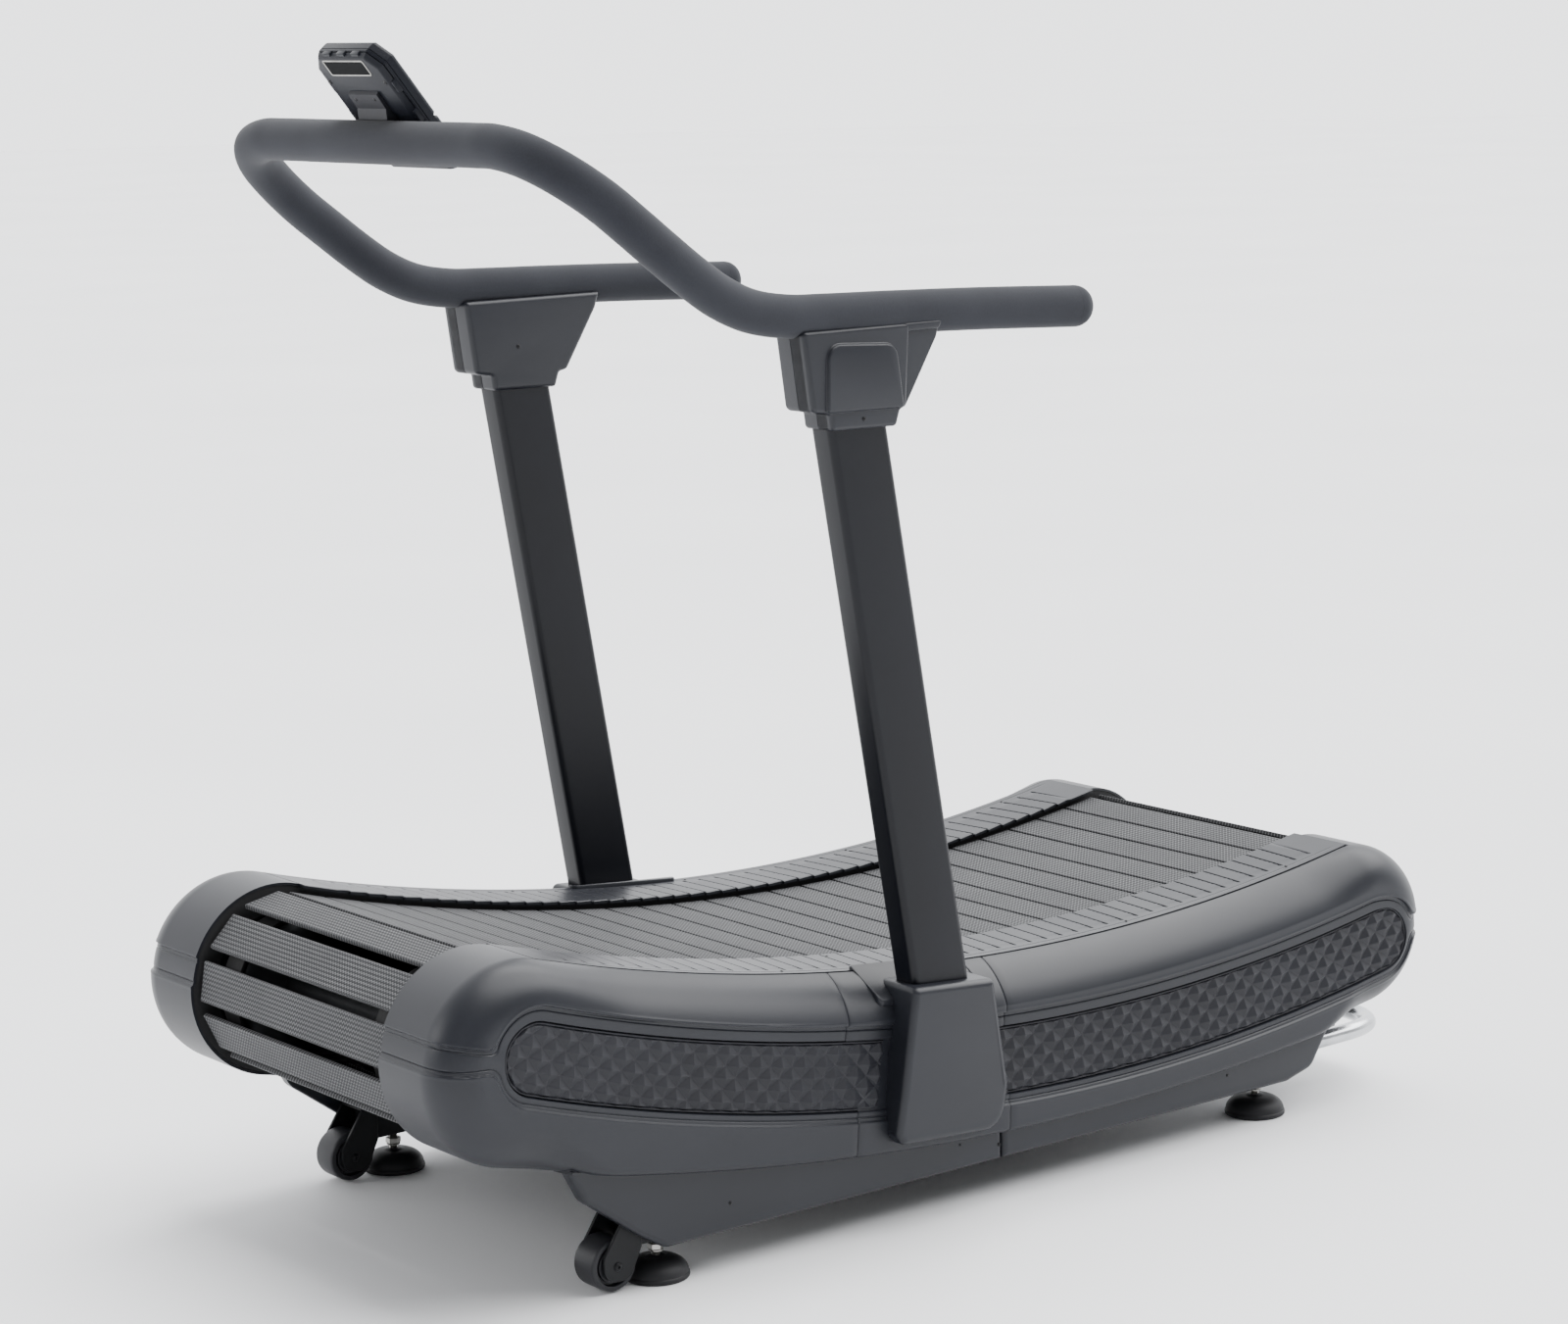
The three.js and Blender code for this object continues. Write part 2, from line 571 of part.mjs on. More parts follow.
function buildConsole() {
  const head = new THREE.Group();
  head.position.set(0, CONSOLE.y, CONSOLE.z);
  head.rotation.x = CONSOLE_TILT;
  treadmill.add(head);
  const { wide, tall, thick } = CONSOLE;
  const middle = tall / 2;
  const back = toSolid(consolePlate(roundedRect(wide, tall, 15), middle, 0, 15, 4));
  const rear = back.intersect(toSolid(block(-100, 100, -5, 13, -10, 220)));
  add("console_back_shell", toGeometry(rear), "plastic", head);
  const front = toSolid(consolePlate(roundedRect(wide, tall, 15), middle, 9, thick, 4));
  const tools = [toSolid(block(-100, 100, 0, 13 + GAP, -10, 220))];
  tools.push(toSolid(consolePlate(roundedRect(124, 92, 4), 128, 23.7, 40)));
  for (const x of [-38, 0, 38]) {
    tools.push(toSolid(consolePlate(roundedRect(24.6, 14.6, 5.3), 56, 20, 40)));
    tools[tools.length - 1] = tools[tools.length - 1].translate([x, 0, 0]);
  }
  add("console_front_shell", toGeometry(cut(front, tools)), "plastic", head);
  add("console_screen", consolePlate(roundedRect(123.4, 91.4, 3.7), 128, 24, 27), "glass", head);
  for (const [name, x] of [["left", 38], ["middle", 0], ["right", -38]]) {
    const key = consolePlate(roundedRect(24, 14, 5), 56, 22, 29.5).translate(x, 0, 0);
    add(`console_button_${name}`, key, "rubber", head);
  }
}

// Saddle plates above and below the crossbar, bolted to the back of the console.
function buildConsoleMount() {
  const bar = toSolid(turnedAcross(
    [[0, -120], [FOAM_RADIUS + 0.8, -120], [FOAM_RADIUS + 0.8, 120], [0, 120]],
    CROSSBAR.y, CROSSBAR.z, 24));
  const face = (along, out) => [
    CONSOLE.y - along * Math.sin(CONSOLE_TILT) + out * Math.cos(CONSOLE_TILT),
    CONSOLE.z + along * Math.cos(CONSOLE_TILT) + out * Math.sin(CONSOLE_TILT),
  ];
  const upper = [face(76, -0.4), face(136, -0.4), face(134, -5), face(112, -6), face(96, -16),
    face(76, -30)];
  const lower = [face(22, -0.4), face(72, -0.4), face(72, -30), face(50, -14), face(34, -6),
    face(24, -5)];
  const plates = [["console_bracket", upper, 34], ["console_clamp", lower, 34]];
  for (const [name, outline, half] of plates) {
    const turned = THREE.ShapeUtils.area(outline.map(([y, z]) => ({ x: y, y: z }))) > 0
      ? outline : outline.reverse();
    add(name, toGeometry(cut(toSolid(sweepAcross(turned, -half, half)), [bar])), "plastic");
  }
}

// ---- feet, wheels and lift handle ----------------------------------------------

function buildFeet() {
  const profile = [
    [0, 0], [42, 0], [44.4, 4], [38, 18], [24, 26], [10, 29], [6, 31], [6, 38],
    [10.5, 38], [10.5, 48], [6, 48], [6, 88], [0, 88],
  ];
  for (const [row, y] of [["front", FOOT_Y[0]], ["rear", FOOT_Y[1]]]) {
    for (const [side, x] of [["left", FOOT_X], ["right", -FOOT_X]]) {
      add(`${side}_${row}_foot`, turnedUp(profile, x, y, 12), "rubber");
    }
  }
}

function buildWheels() {
  const { y, z, radius, half } = WHEEL;
  const profile = [
    [7.4, -half], [26, -half], [28, -half + 3], [radius - 3, -half], [radius, -half + 3],
    [radius, half - 3], [radius - 3, half], [28, half - 3], [26, half], [7.4, half], [7.4, -half],
  ];
  const wheel = turnedAcross(profile, y, z, 16).translate(FOOT_X, 0, 0);
  pair("transport_wheel", wheel, "rubber");
  const cheek = [[-560.3, 58], [-560.3, 106], [-590, 106], [-622, 46], [-618, 26], [-604, 18], [-588, 22]];
  const pieces = [];
  for (const side of [-1, 1]) {
    const x = FOOT_X + side * (half + 4.5);
    pieces.push(toSolid(sweepAcross(cheek.slice().reverse(), x - 2.5, x + 2.5)));
  }
  pieces.push(toSolid(block(FOOT_X - 24, FOOT_X + 24, -566, -560.3, 60, 106)));
  pieces.push(toSolid(turnedAcross([[0, -29.5], [10, -29.5], [10, -27], [7, -26.9], [7, 26.9], [10, 27],
    [10, 29.5], [0, 29.5]], y, z, 12).translate(FOOT_X, 0, 0)));
  pair("wheel_fork", toGeometry(join(pieces)), "steel");
}

// Bent tube under the tail, used to pick the machine up and roll it away.
function buildLiftHandle() {
  const half = [[317, 600.3], [317, 680], [317, 740], [313, 796], [298, 832], [268, 853], [220, 861], [100, 861]];
  const points = [...half, ...half.slice().reverse().map(([x, y]) => [-x, y])];
  const path = new THREE.CatmullRomCurve3(
    points.map(([x, y]) => new THREE.Vector3(x, y, 86)), false, "centripetal");
  add("rear_lift_handle", sweepAlong(ringShape(13, 0, 8), path, 20), "zinc");
}

buildBelt();
buildDrums();
buildBeams();
buildSidePlates();
buildRollerRails();
buildFrameRails();
buildCovers();
buildInlays();
buildStrips();
buildSkirts();
buildUprights();
buildBoots();
buildHandlebar();
buildBrackets();
buildConsole();
buildConsoleMount();
buildFeet();
buildWheels();
buildLiftHandle();

export default treadmill;
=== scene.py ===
# Curved manual treadmill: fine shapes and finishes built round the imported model.
# Shapes are worked out in millimetres and put into meshes in metres. -Y is the front.
import math

import bpy
import numpy as np
from mathutils import Matrix, Vector


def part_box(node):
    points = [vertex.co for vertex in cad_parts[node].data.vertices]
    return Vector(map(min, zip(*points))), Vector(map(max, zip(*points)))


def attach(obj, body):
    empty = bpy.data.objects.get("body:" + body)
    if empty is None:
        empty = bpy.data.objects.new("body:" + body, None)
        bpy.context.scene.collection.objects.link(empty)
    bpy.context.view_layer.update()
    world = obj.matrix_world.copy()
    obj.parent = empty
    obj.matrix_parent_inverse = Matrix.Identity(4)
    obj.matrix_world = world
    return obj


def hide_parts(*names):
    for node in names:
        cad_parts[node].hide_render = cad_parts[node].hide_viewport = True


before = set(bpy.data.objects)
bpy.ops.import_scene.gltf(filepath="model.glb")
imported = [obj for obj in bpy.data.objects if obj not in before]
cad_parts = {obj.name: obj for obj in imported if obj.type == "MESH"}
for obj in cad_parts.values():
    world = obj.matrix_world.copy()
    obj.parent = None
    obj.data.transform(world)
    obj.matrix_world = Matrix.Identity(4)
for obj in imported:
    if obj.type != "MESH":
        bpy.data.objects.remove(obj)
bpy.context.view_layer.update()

# ---- camera -------------------------------------------------------------------
# A long lens a little above the console, in front of the machine on its left side.
CAMERA_AT = Vector((4.24565, -3.34090, 1.65232))
AZIMUTH, ELEVATION, ROLL = (math.radians(a) for a in (52.12, 9.91, -1.35))

view_right = Vector((math.cos(AZIMUTH), math.sin(AZIMUTH), 0))
view_back = Vector((math.sin(AZIMUTH) * math.cos(ELEVATION),
                    -math.cos(AZIMUTH) * math.cos(ELEVATION), math.sin(ELEVATION)))
view_up = view_back.cross(view_right)
rolled_right = view_right * math.cos(ROLL) + view_up * math.sin(ROLL)
rolled_up = view_up * math.cos(ROLL) - view_right * math.sin(ROLL)
camera_data = bpy.data.cameras.new("camera")
camera_data.lens = 88.9
camera_data.sensor_width = 36
camera_data.clip_end = 200
camera = bpy.data.objects.new("camera", camera_data)
camera.matrix_world = Matrix.Translation(CAMERA_AT) @ Matrix(
    (rolled_right, rolled_up, view_back)).transposed().to_4x4()
bpy.context.scene.collection.objects.link(camera)
bpy.context.scene.camera = camera

# ---- frame steel ---------------------------------------------------------------
# Rails, cross beams, side plates and belt drums: welded and turned steel, powder coated
# black. The bolted frame hides inside the covers and shows only from below and behind.


class Wire:
    """A socket with arithmetic: an expression on wires adds its Math nodes."""

    def __init__(self, finish, socket):
        self.finish, self.socket = finish, socket

    def math(self, operation, *others):
        return self.finish.node("ShaderNodeMath", {"operation": operation}, self, *others)

    def __add__(self, other):
        return self.math("ADD", other)

    def __sub__(self, other):
        return self.math("SUBTRACT", other)

    def __mul__(self, other):
        return self.math("MULTIPLY", other)

    def __truediv__(self, other):
        return self.math("DIVIDE", other)

    def __radd__(self, other):
        return self.math("ADD", other)

    def __rmul__(self, other):
        return self.math("MULTIPLY", other)

    def __rsub__(self, other):
        return self.finish.node("ShaderNodeMath", {"operation": "SUBTRACT"}, other, self)

    def step(self, low, high):
        """0 below low, 1 above high, and a smooth rise between them."""
        return self.finish.node("ShaderNodeMapRange", {"interpolation_type": "SMOOTHSTEP"},
                                self, low, high)


class Finish:
    """One material: its nodes are added by node(), and surface() joins them to the shader."""

    def __init__(self, name, roughness=0.5, **fixed):
        self.material = bpy.data.materials.new(name)
        self.material.use_nodes = True
        self.tree = self.material.node_tree
        self.shader = self.tree.nodes["Principled BSDF"]
        self.shader.inputs["Roughness"].default_value = roughness
        for socket, value in fixed.items():
            self.shader.inputs[socket.replace("_", " ")].default_value = value
        self.place = self.node("ShaderNodeTexCoord", {}, output="Object")

    def feed(self, socket, value):
        if isinstance(value, Wire):
            self.tree.links.new(value.socket, socket)
        else:
            socket.default_value = value

    def node(self, kind, settings, *values, output=0, **named):
        """Adds a node: its settings first, then values or links for its sockets."""
        made = self.tree.nodes.new(kind)
        for key, value in settings.items():
            setattr(made, key, value)
        for socket, value in zip(made.inputs, values):
            self.feed(socket, value)
        for key, value in named.items():
            self.feed(made.inputs[key.replace("_", " ")], value)
        return Wire(self, made.outputs[output])

    def noise(self, per_metre, detail=3.0, stretch=(1, 1, 1)):
        at = self.node("ShaderNodeMapping", {}, self.place, Scale=stretch)
        return self.node("ShaderNodeTexNoise", {}, Vector=at, Scale=per_metre, Detail=detail)

    def axis(self, letter):
        return self.node("ShaderNodeSeparateXYZ", {}, self.place, output=letter)

    def blend(self, share, first, second):
        made = self.tree.nodes.new("ShaderNodeMix")
        made.data_type = "RGBA"
        for key, value in ((0, share), (6, first), (7, second)):
            self.feed(made.inputs[key], value)
        return Wire(self, made.outputs[2])

    def surface(self, colour=None, roughness=None, relief=None, depth=0.001, **more):
        for name, value in {"Base Color": colour, "Roughness": roughness, **more}.items():
            if value is not None:
                self.feed(self.shader.inputs[name.replace("_", " ")], value)
        if relief is not None:
            bump = self.node("ShaderNodeBump", {}, Height=relief, Distance=depth, Strength=1.0)
            self.feed(self.shader.inputs["Normal"], bump)
        return self.material


def powder_coat(name, dark, light, roughness, gloss=0.2):
    """Baked powder paint: fine orange peel, faint patches, and a duller bloom in places."""
    paint = Finish(name, Specular_IOR_Level=gloss)
    peel = paint.noise(900, 2)
    patches = paint.noise(5, 4)
    return paint.surface(
        colour=paint.blend(patches.step(0.3, 0.7), dark, light),
        roughness=roughness - 0.05 + patches * 0.1,
        relief=peel, depth=0.00002)


frame_steel = powder_coat("frame_steel", (0.006, 0.0065, 0.0075, 1), (0.009, 0.0096, 0.011, 1), 0.4)


def turned_steel():
    """Turned drums: dull dark aluminium with fine rings left by the lathe across the axle."""
    metal = Finish("drum_metal", Metallic=0.9)
    rings = metal.noise(60, 3, stretch=(60, 1, 1))
    cloud = metal.noise(8, 3)
    return metal.surface(
        colour=metal.blend(cloud.step(0.3, 0.7), (0.016, 0.017, 0.018, 1), (0.026, 0.027, 0.029, 1)),
        roughness=rings * 0.2 + 0.3, relief=rings, depth=0.00006)


drum_metal = turned_steel()


def finish_node(node, material):
    """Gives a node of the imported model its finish."""
    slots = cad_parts[node].data.materials
    slots.clear()
    slots.append(material)


for side in ("left", "right"):
    for part in ("frame_rail", "side_plate", "roller_rail"):
        finish_node(f"{side}_{part}", frame_steel)
for row in ("front", "mid", "rear"):
    finish_node(f"{row}_cross_beam", frame_steel)


def quads(rows, columns, round_rows=False, round_columns=False):
    """Corner numbers of the faces of a grid of points, kept row by row."""
    r = np.arange(rows if round_rows else rows - 1)[:, None]
    c = np.arange(columns if round_columns else columns - 1)[None]
    r1, c1 = (r + 1) % rows, (c + 1) % columns
    corners = [r * columns + c, r * columns + c1, r1 * columns + c1, r1 * columns + c]
    return np.stack(corners, -1).reshape(-1, 4)


def outward(points, faces):
    """The same faces, all turned round if the closed form they bound has a negative volume."""
    total = 0.0
    for face in faces:
        ring = points[np.asarray(face)].reshape(-1, np.asarray(face).shape[-1], 3)
        for k in range(1, ring.shape[1] - 1):
            total += np.einsum("ij,ij->i", ring[:, 0], np.cross(ring[:, k], ring[:, k + 1])).sum()
    return faces if total > 0 else [np.asarray(f)[..., ::-1] for f in faces]


def rings(grid):
    """A closed form from rings of points: its skin, and a flat cap on its first and last ring."""
    rows, columns = grid.shape[:2]
    points = grid.reshape(-1, 3)
    skin = quads(rows, columns, round_columns=True)
    first = np.arange(columns)[None, ::-1]
    last = (np.arange(columns) + (rows - 1) * columns)[None]
    return points, outward(points, [skin, first, last])


def torus(grid):
    """A closed form from rings of points that comes round to its first ring again."""
    rows, columns = grid.shape[:2]
    points = grid.reshape(-1, 3)
    return points, outward(points, [quads(rows, columns, True, True)])


def make(name, parts, material, body, replaced=(), crease=32):
    """One object from closed forms given in millimetres; edges sharper than crease stay hard."""
    points, faces, count = [], [], 0
    for part_points, part_faces in parts:
        points.append(part_points)
        for face in part_faces:
            faces.extend((np.asarray(face) + count).tolist())
        count += len(part_points)
    mesh = bpy.data.meshes.new(name)
    mesh.from_pydata((np.concatenate(points) * 0.001).tolist(), [], faces)
    mesh.validate()
    mesh.shade_smooth()
    mesh.set_sharp_from_angle(angle=math.radians(crease))
    mesh.materials.append(material)
    piece = bpy.data.objects.new(name, mesh)
    bpy.context.scene.collection.objects.link(piece)
    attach(piece, body)
    if replaced:
        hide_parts(*replaced)
    return piece


def turned(profile, axis, at, sides=64):
    """A turned form: each (radius, height) of the profile carried round an axis, x or z."""
    profile = np.array(profile, float)
    angle = np.linspace(0, 2 * np.pi, sides, endpoint=False)
    a, b = np.cos(angle), np.sin(angle)
    r, h = profile[:, :1], profile[:, 1:]
    flat = np.broadcast_to(h, (len(profile), sides))
    grid = np.stack([r * a, r * b, flat] if axis == "z" else [flat, r * a, r * b], -1)
    return rings(grid + np.array(at, float))


def centre_of(node):
    """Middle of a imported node's box, in millimetres."""
    low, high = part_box(node)
    return np.array(low + high) * 500


# Each drum is a shaft and core tube with a crowned pulley under each belt.
PULLEY_FROM, PULLEY_TO = 164, 212
for row in ("front", "rear"):
    low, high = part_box(f"{row}_drum")
    pulley = (high.z - low.z) * 500
    shaft = high.x * 1000
    half = [(38, 0), (38, 150), (pulley - 14, 160), (pulley - 3, PULLEY_FROM),
            (pulley - 1, PULLEY_FROM + 2), (pulley, 188), (pulley - 1, PULLEY_TO - 2),
            (pulley - 3, PULLEY_TO), (pulley - 8, PULLEY_TO + 1), (30, PULLEY_TO + 2),
            (28, 222), (12.5, 222), (12.5, shaft - 1), (11.5, shaft)]
    profile = [(r, -x) for r, x in half[:0:-1]] + half
    make(f"{row}_drum_turned", [turned(profile, "x", (0, *centre_of(f"{row}_drum")[1:]), 96)],
         drum_metal, f"{row}_wrap", [f"{row}_drum"])

# ---- slat belt ------------------------------------------------------------------
# Sixty extruded slats with a ribbed tread, each on a middle web bolted down to two drive
# belts. The loop is modelled as four stretches, and each stretch rides on its own body.
DRUM_FRONT, FRONT_RADIUS = np.array([-744.5, 334.0]), 121.0
DRUM_REAR, REAR_RADIUS = np.array([755.5, 256.0]), 110.0
TOP_RADIUS, LOW_RADIUS = 3200.0, 4200.0
PITCH_DEPTH = 22.0
SLAT_COUNT, FIRST_SLAT = 60, 13.0
SLAT_HALF, SLAT_WIDTH = 226.0, 55.0


def touching_centre(to_front, to_rear):
    """Centre of the arc that touches both drums: where circles round the drums cross above."""
    gap = DRUM_REAR - DRUM_FRONT
    apart = np.hypot(*gap)
    along = (to_front ** 2 - to_rear ** 2 + apart ** 2) / (2 * apart)
    rise = math.sqrt(to_front ** 2 - along ** 2)
    return DRUM_FRONT + (gap * along + np.array([-gap[1], gap[0]]) * rise) / apart


def bearing(start, end):
    return math.atan2(end[1] - start[1], end[0] - start[0])


TOP_CENTRE = touching_centre(TOP_RADIUS + FRONT_RADIUS, TOP_RADIUS + REAR_RADIUS)
LOW_CENTRE = touching_centre(LOW_RADIUS - FRONT_RADIUS, LOW_RADIUS - REAR_RADIUS)
# Each stretch: body, node, arc centre, pitch radius, start, end, and +1 where out is away
# from the arc's centre. They follow on from one another from the nose over the top.
STRETCHES = [
    ("top_run", "belt_top_run", TOP_CENTRE, TOP_RADIUS + PITCH_DEPTH,
     bearing(TOP_CENTRE, DRUM_FRONT), bearing(TOP_CENTRE, DRUM_REAR), -1),
    ("rear_wrap", "belt_rear_wrap", DRUM_REAR, REAR_RADIUS - PITCH_DEPTH,
     bearing(DRUM_REAR, TOP_CENTRE), bearing(LOW_CENTRE, DRUM_REAR), 1),
    ("lower_run", "belt_lower_run", LOW_CENTRE, LOW_RADIUS - PITCH_DEPTH,
     bearing(LOW_CENTRE, DRUM_REAR), bearing(LOW_CENTRE, DRUM_FRONT), 1),
    ("front_wrap", "belt_front_wrap", DRUM_FRONT, FRONT_RADIUS - PITCH_DEPTH,
     bearing(LOW_CENTRE, DRUM_FRONT) + 2 * math.pi, bearing(DRUM_FRONT, TOP_CENTRE), 1),
]


def rounded(outline, radius, steps=5):
    """A closed outline with each corner turned into an arc that touches both its sides. It
    gives a function of inset: an outward corner's arc shrinks to a point and then slides in
    along its bisector, and an inward corner's arc grows."""
    at = np.array(outline, float)
    radius = np.broadcast_to(np.array(radius, float), len(at))
    if np.cross(at, np.roll(at, -1, 0)).sum() < 0:
        at, radius = at[::-1], radius[::-1]
    radius = radius[:, None]
    back = np.roll(at, 1, 0) - at
    ahead = np.roll(at, -1, 0) - at
    back /= np.linalg.norm(back, axis=1)[:, None]
    ahead /= np.linalg.norm(ahead, axis=1)[:, None]
    convex = np.cross(back, ahead)[:, None] < 0
    half = np.arccos(np.clip((back * ahead).sum(1), -0.99999, 0.99999))[:, None] / 2
    middle = (back + ahead) / np.linalg.norm(back + ahead, axis=1)[:, None]
    centre = at + middle * radius / np.sin(half)
    first = at + back * radius / np.tan(half) - centre
    last = at + ahead * radius / np.tan(half) - centre
    share = np.linspace(0, 1, steps)[None, :, None]
    sweep = np.pi - 2 * half[:, :, None]
    arc = (np.sin((1 - share) * sweep) * first[:, None] + np.sin(share * sweep) * last[:, None])
    arc = arc / np.sin(sweep)

    def moved_in(inset=0.0):
        keep = np.where(convex, np.maximum(1 - inset / radius, 0.02), 1 + inset / radius)
        slide = np.where(convex, np.maximum(inset - radius, 0), 0) / np.sin(half)
        return (centre[:, None] + arc * keep[:, None] + (middle * slide)[:, None]).reshape(-1, 2)

    return moved_in


def slat_section():
    """Outline of a slat: a 7 mm tread plate with nine shallow ribs on top of a middle web.
    Along it, first number, and up from the pitch line, second."""
    half = SLAT_WIDTH / 2
    grooves = np.linspace(-half, half, 10)[1:-1]
    tread = [(x + d, PITCH_DEPTH - h) for x in grooves[::-1]
             for d, h in ((0.7, 0), (0.35, 0.15), (-0.35, 0.15), (-0.7, 0))]
    plate = [(-half, 16.5), (-half + 1.5, 15), (-2.8, 15), (-2.8, 1.5), (2.8, 1.5), (2.8, 15),
             (half - 1.5, 15), (half, 16.5), (half, PITCH_DEPTH - 1.1),
             (half - 0.4, PITCH_DEPTH - 0.3), (half - 1.2, PITCH_DEPTH)]
    return np.array(plate + tread + [(-half + 1.2, PITCH_DEPTH), (-half + 0.4, PITCH_DEPTH - 0.3),
                                     (-half, PITCH_DEPTH - 1.1)])


def slat_at(centre, radius, angle, out):
    """The slat section set on its arc, and carried across with its ends slightly eased."""
    section = slat_section()
    way = np.array([math.cos(angle), math.sin(angle)])
    side = np.array([way[1], -way[0]]) * out
    flat = centre + way * radius + section[:, :1] * side + section[:, 1:] * way * out
    xs = np.array([-SLAT_HALF, -SLAT_HALF + 0.8, SLAT_HALF - 0.8, SLAT_HALF])
    middle = centre + way * (radius + 18.5 * out)
    grid = np.empty((4, len(section), 3))
    for k, ease in enumerate((0.985, 1.0, 1.0, 0.985)):
        grid[k, :, 0] = xs[k]
        grid[k, :, 1:] = middle + (flat - middle) * ease
    return rings(grid)


def drive_belt(centre, radius, start, end, side):
    """One drive belt: a 40 x 5 mm band with eased edges carried along the pitch arc."""
    trim = 0.5 / radius * math.copysign(1, end - start)
    angle = np.linspace(start + trim, end - trim, 49)[:, None]
    band = rounded([(168, -2.5), (208, -2.5), (208, 2.5), (168, 2.5)], 1.2, 3)()
    reach = radius + band[:, 1][None]
    x = np.broadcast_to(band[:, 0][None] * side, reach.shape[:1] + (len(band),))
    x = np.broadcast_to(x, (len(angle), len(band)))
    y = centre[0] + reach * np.cos(angle)
    z = centre[1] + reach * np.sin(angle)
    return rings(np.stack([x, y, z], -1))


def tread_finish():
    """Grey rubber tread: rows of small raised chevrons on a fine speckled ground, with their crowns
    painted paler as a painted highlight of the light on the relief. The chevron height is a zigzag wave
    along X, row by row, and each point carries its place across its slat as the attribute tread_row."""
    rubber = Finish("slat_tread", Specular_IOR_Level=0.3)
    x = rubber.axis("X")
    across = rubber.node("ShaderNodeAttribute", {"attribute_name": "tread_row"}, output="Fac")
    zig = (x * (1 / 0.0062)).math("PINGPONG", 0.5) * 2
    wave = (across * (1 / 0.0061) + zig * 0.55).math("PINGPONG", 0.5) * 2
    mark = wave.step(0.52, 0.86)
    speck = rubber.noise(1400, 3)
    cloud = rubber.noise(9, 4)
    ground = rubber.blend(speck.step(0.3, 0.7), (0.018, 0.0185, 0.0200, 1), (0.040, 0.0408, 0.0435, 1))
    # Painted highlight: the chevron crowns take this much paler colour to stand for light catching the
    # raised relief.
    painted_highlight_crown = rubber.blend(cloud.step(0.25, 0.75), (0.110, 0.1122, 0.1170, 1), (0.145, 0.1472, 0.1525, 1))
    return rubber.surface(
        colour=rubber.blend(mark * (speck * 0.5 + 0.6), ground, painted_highlight_crown),
        roughness=0.72 - mark * 0.18 + speck * 0.1,
        relief=mark * 0.9 + speck * 0.25, depth=0.0003)


def belt_finish():
    """Black drive belt rubber with the faint crosswise texture of its fabric cover."""
    rubber = Finish("belt_rubber")
    weave = rubber.noise(700, 2, stretch=(1, 0.4, 0.4))
    return rubber.surface(
        colour=rubber.blend(weave.step(0.3, 0.8), (0.006, 0.006, 0.0068, 1), (0.011, 0.011, 0.012, 1)),
        roughness=weave * 0.2 + 0.6, relief=weave, depth=0.0002)


tread = tread_finish()
belt_rubber = belt_finish()
lengths = [radius * abs(end - start) for _, _, _, radius, start, end, _ in STRETCHES]
pitch = sum(lengths) / SLAT_COUNT
next_slat = FIRST_SLAT
for (body, node, centre, radius, start, end, out), length in zip(STRETCHES, lengths):
    along = np.arange(next_slat, length, pitch)
    next_slat = along[-1] + pitch - length
    angles = start + math.copysign(1, end - start) * along / radius
    slats = [slat_at(centre, radius, angle, out) for angle in angles]
    piece = make(f"slats_{body}", slats, tread, body, [node], 25)
    rows = piece.data.attributes.new("tread_row", "FLOAT", "POINT")
    rows.data.foreach_set("value", np.tile(slat_section()[:, 0] * 0.001, 4 * len(slats)))
    belts = [drive_belt(centre, radius, start, end, side) for side in (-1, 1)]
    make(f"drive_belts_{body}", belts, belt_rubber, body)

# ---- side covers -----------------------------------------------------------------
# Three blow-moulded plastic shells a side, screwed to the frame. A stepped channel runs
# round the side and wraps nose and tail as a band between two lines; it holds the inlay.
COVER_OFFSET, COVER_OUT, COVER_RIM = 12.0, 388.0, 235.0
SHOULDER = 58.0
SEAM_FRONT, SEAM_REAR = -236.0, 34.0
STRIP_FRONT, STRIP_REAR, STRIP_OUT = -702.0, 752.0, 330.0
STRIP_DEPTH = 4.6
INLAY_CENTRE, INLAY_ARC, INLAY_HALF = np.array([230.0, 3292.0]), 3100.0, 47.5
WALL, LEDGE = 3.6, 9.0
INLAY_BACK, INLAY_FACE = 376.3, 380.2


def band_place(y, z):
    """Inlay band coordinates of side points: along its arc from y = 230, and up across it."""
    dy, dz = y - INLAY_CENTRE[0], z - INLAY_CENTRE[1]
    return INLAY_ARC * np.arctan2(dy, -dz), INLAY_ARC - np.hypot(dy, dz)


def band_point(along, up):
    """Side point (y, z) of inlay band coordinates."""
    angle = along / INLAY_ARC
    reach = INLAY_ARC - up
    return INLAY_CENTRE[0] + reach * np.sin(angle), INLAY_CENTRE[1] - reach * np.cos(angle)


BAND_ENDS = tuple(float(band_place(y, z)[0]) for y, z in ((-739.5, 347.5), (776.5, 240.6)))


def from_inlay(y, z):
    """Distance of side points from the long inlay outline, a bent band with round ends."""
    along, up = band_place(y, z)
    past = np.maximum(np.maximum(BAND_ENDS[0] - along, along - BAND_ENDS[1]), 0)
    return np.hypot(past, up) - INLAY_HALF


def smooth(low, high, value):
    """0 below low, 1 above high, and a smooth rise between them."""
    t = np.clip((value - low) / (high - low), 0, 1)
    return t * t * (3 - 2 * t)


def loop_points(which, at):
    """Points of the cover outline and their outward normals: drums by angle, arcs by y."""
    if which in ("nose", "tail"):
        centre, radius = ((DRUM_FRONT, FRONT_RADIUS) if which == "nose"
                          else (DRUM_REAR, REAR_RADIUS))
        normal = np.stack([np.cos(at), np.sin(at)], -1)
        return centre + normal * (radius + COVER_OFFSET), normal
    centre, radius, sign = ((TOP_CENTRE, TOP_RADIUS - COVER_OFFSET, -1) if which == "top"
                            else (LOW_CENTRE, LOW_RADIUS + COVER_OFFSET, 1))
    dy = at - centre[0]
    normal = np.stack([dy, -np.sqrt(radius ** 2 - dy ** 2)], -1) / radius
    return centre + normal * radius, normal * sign


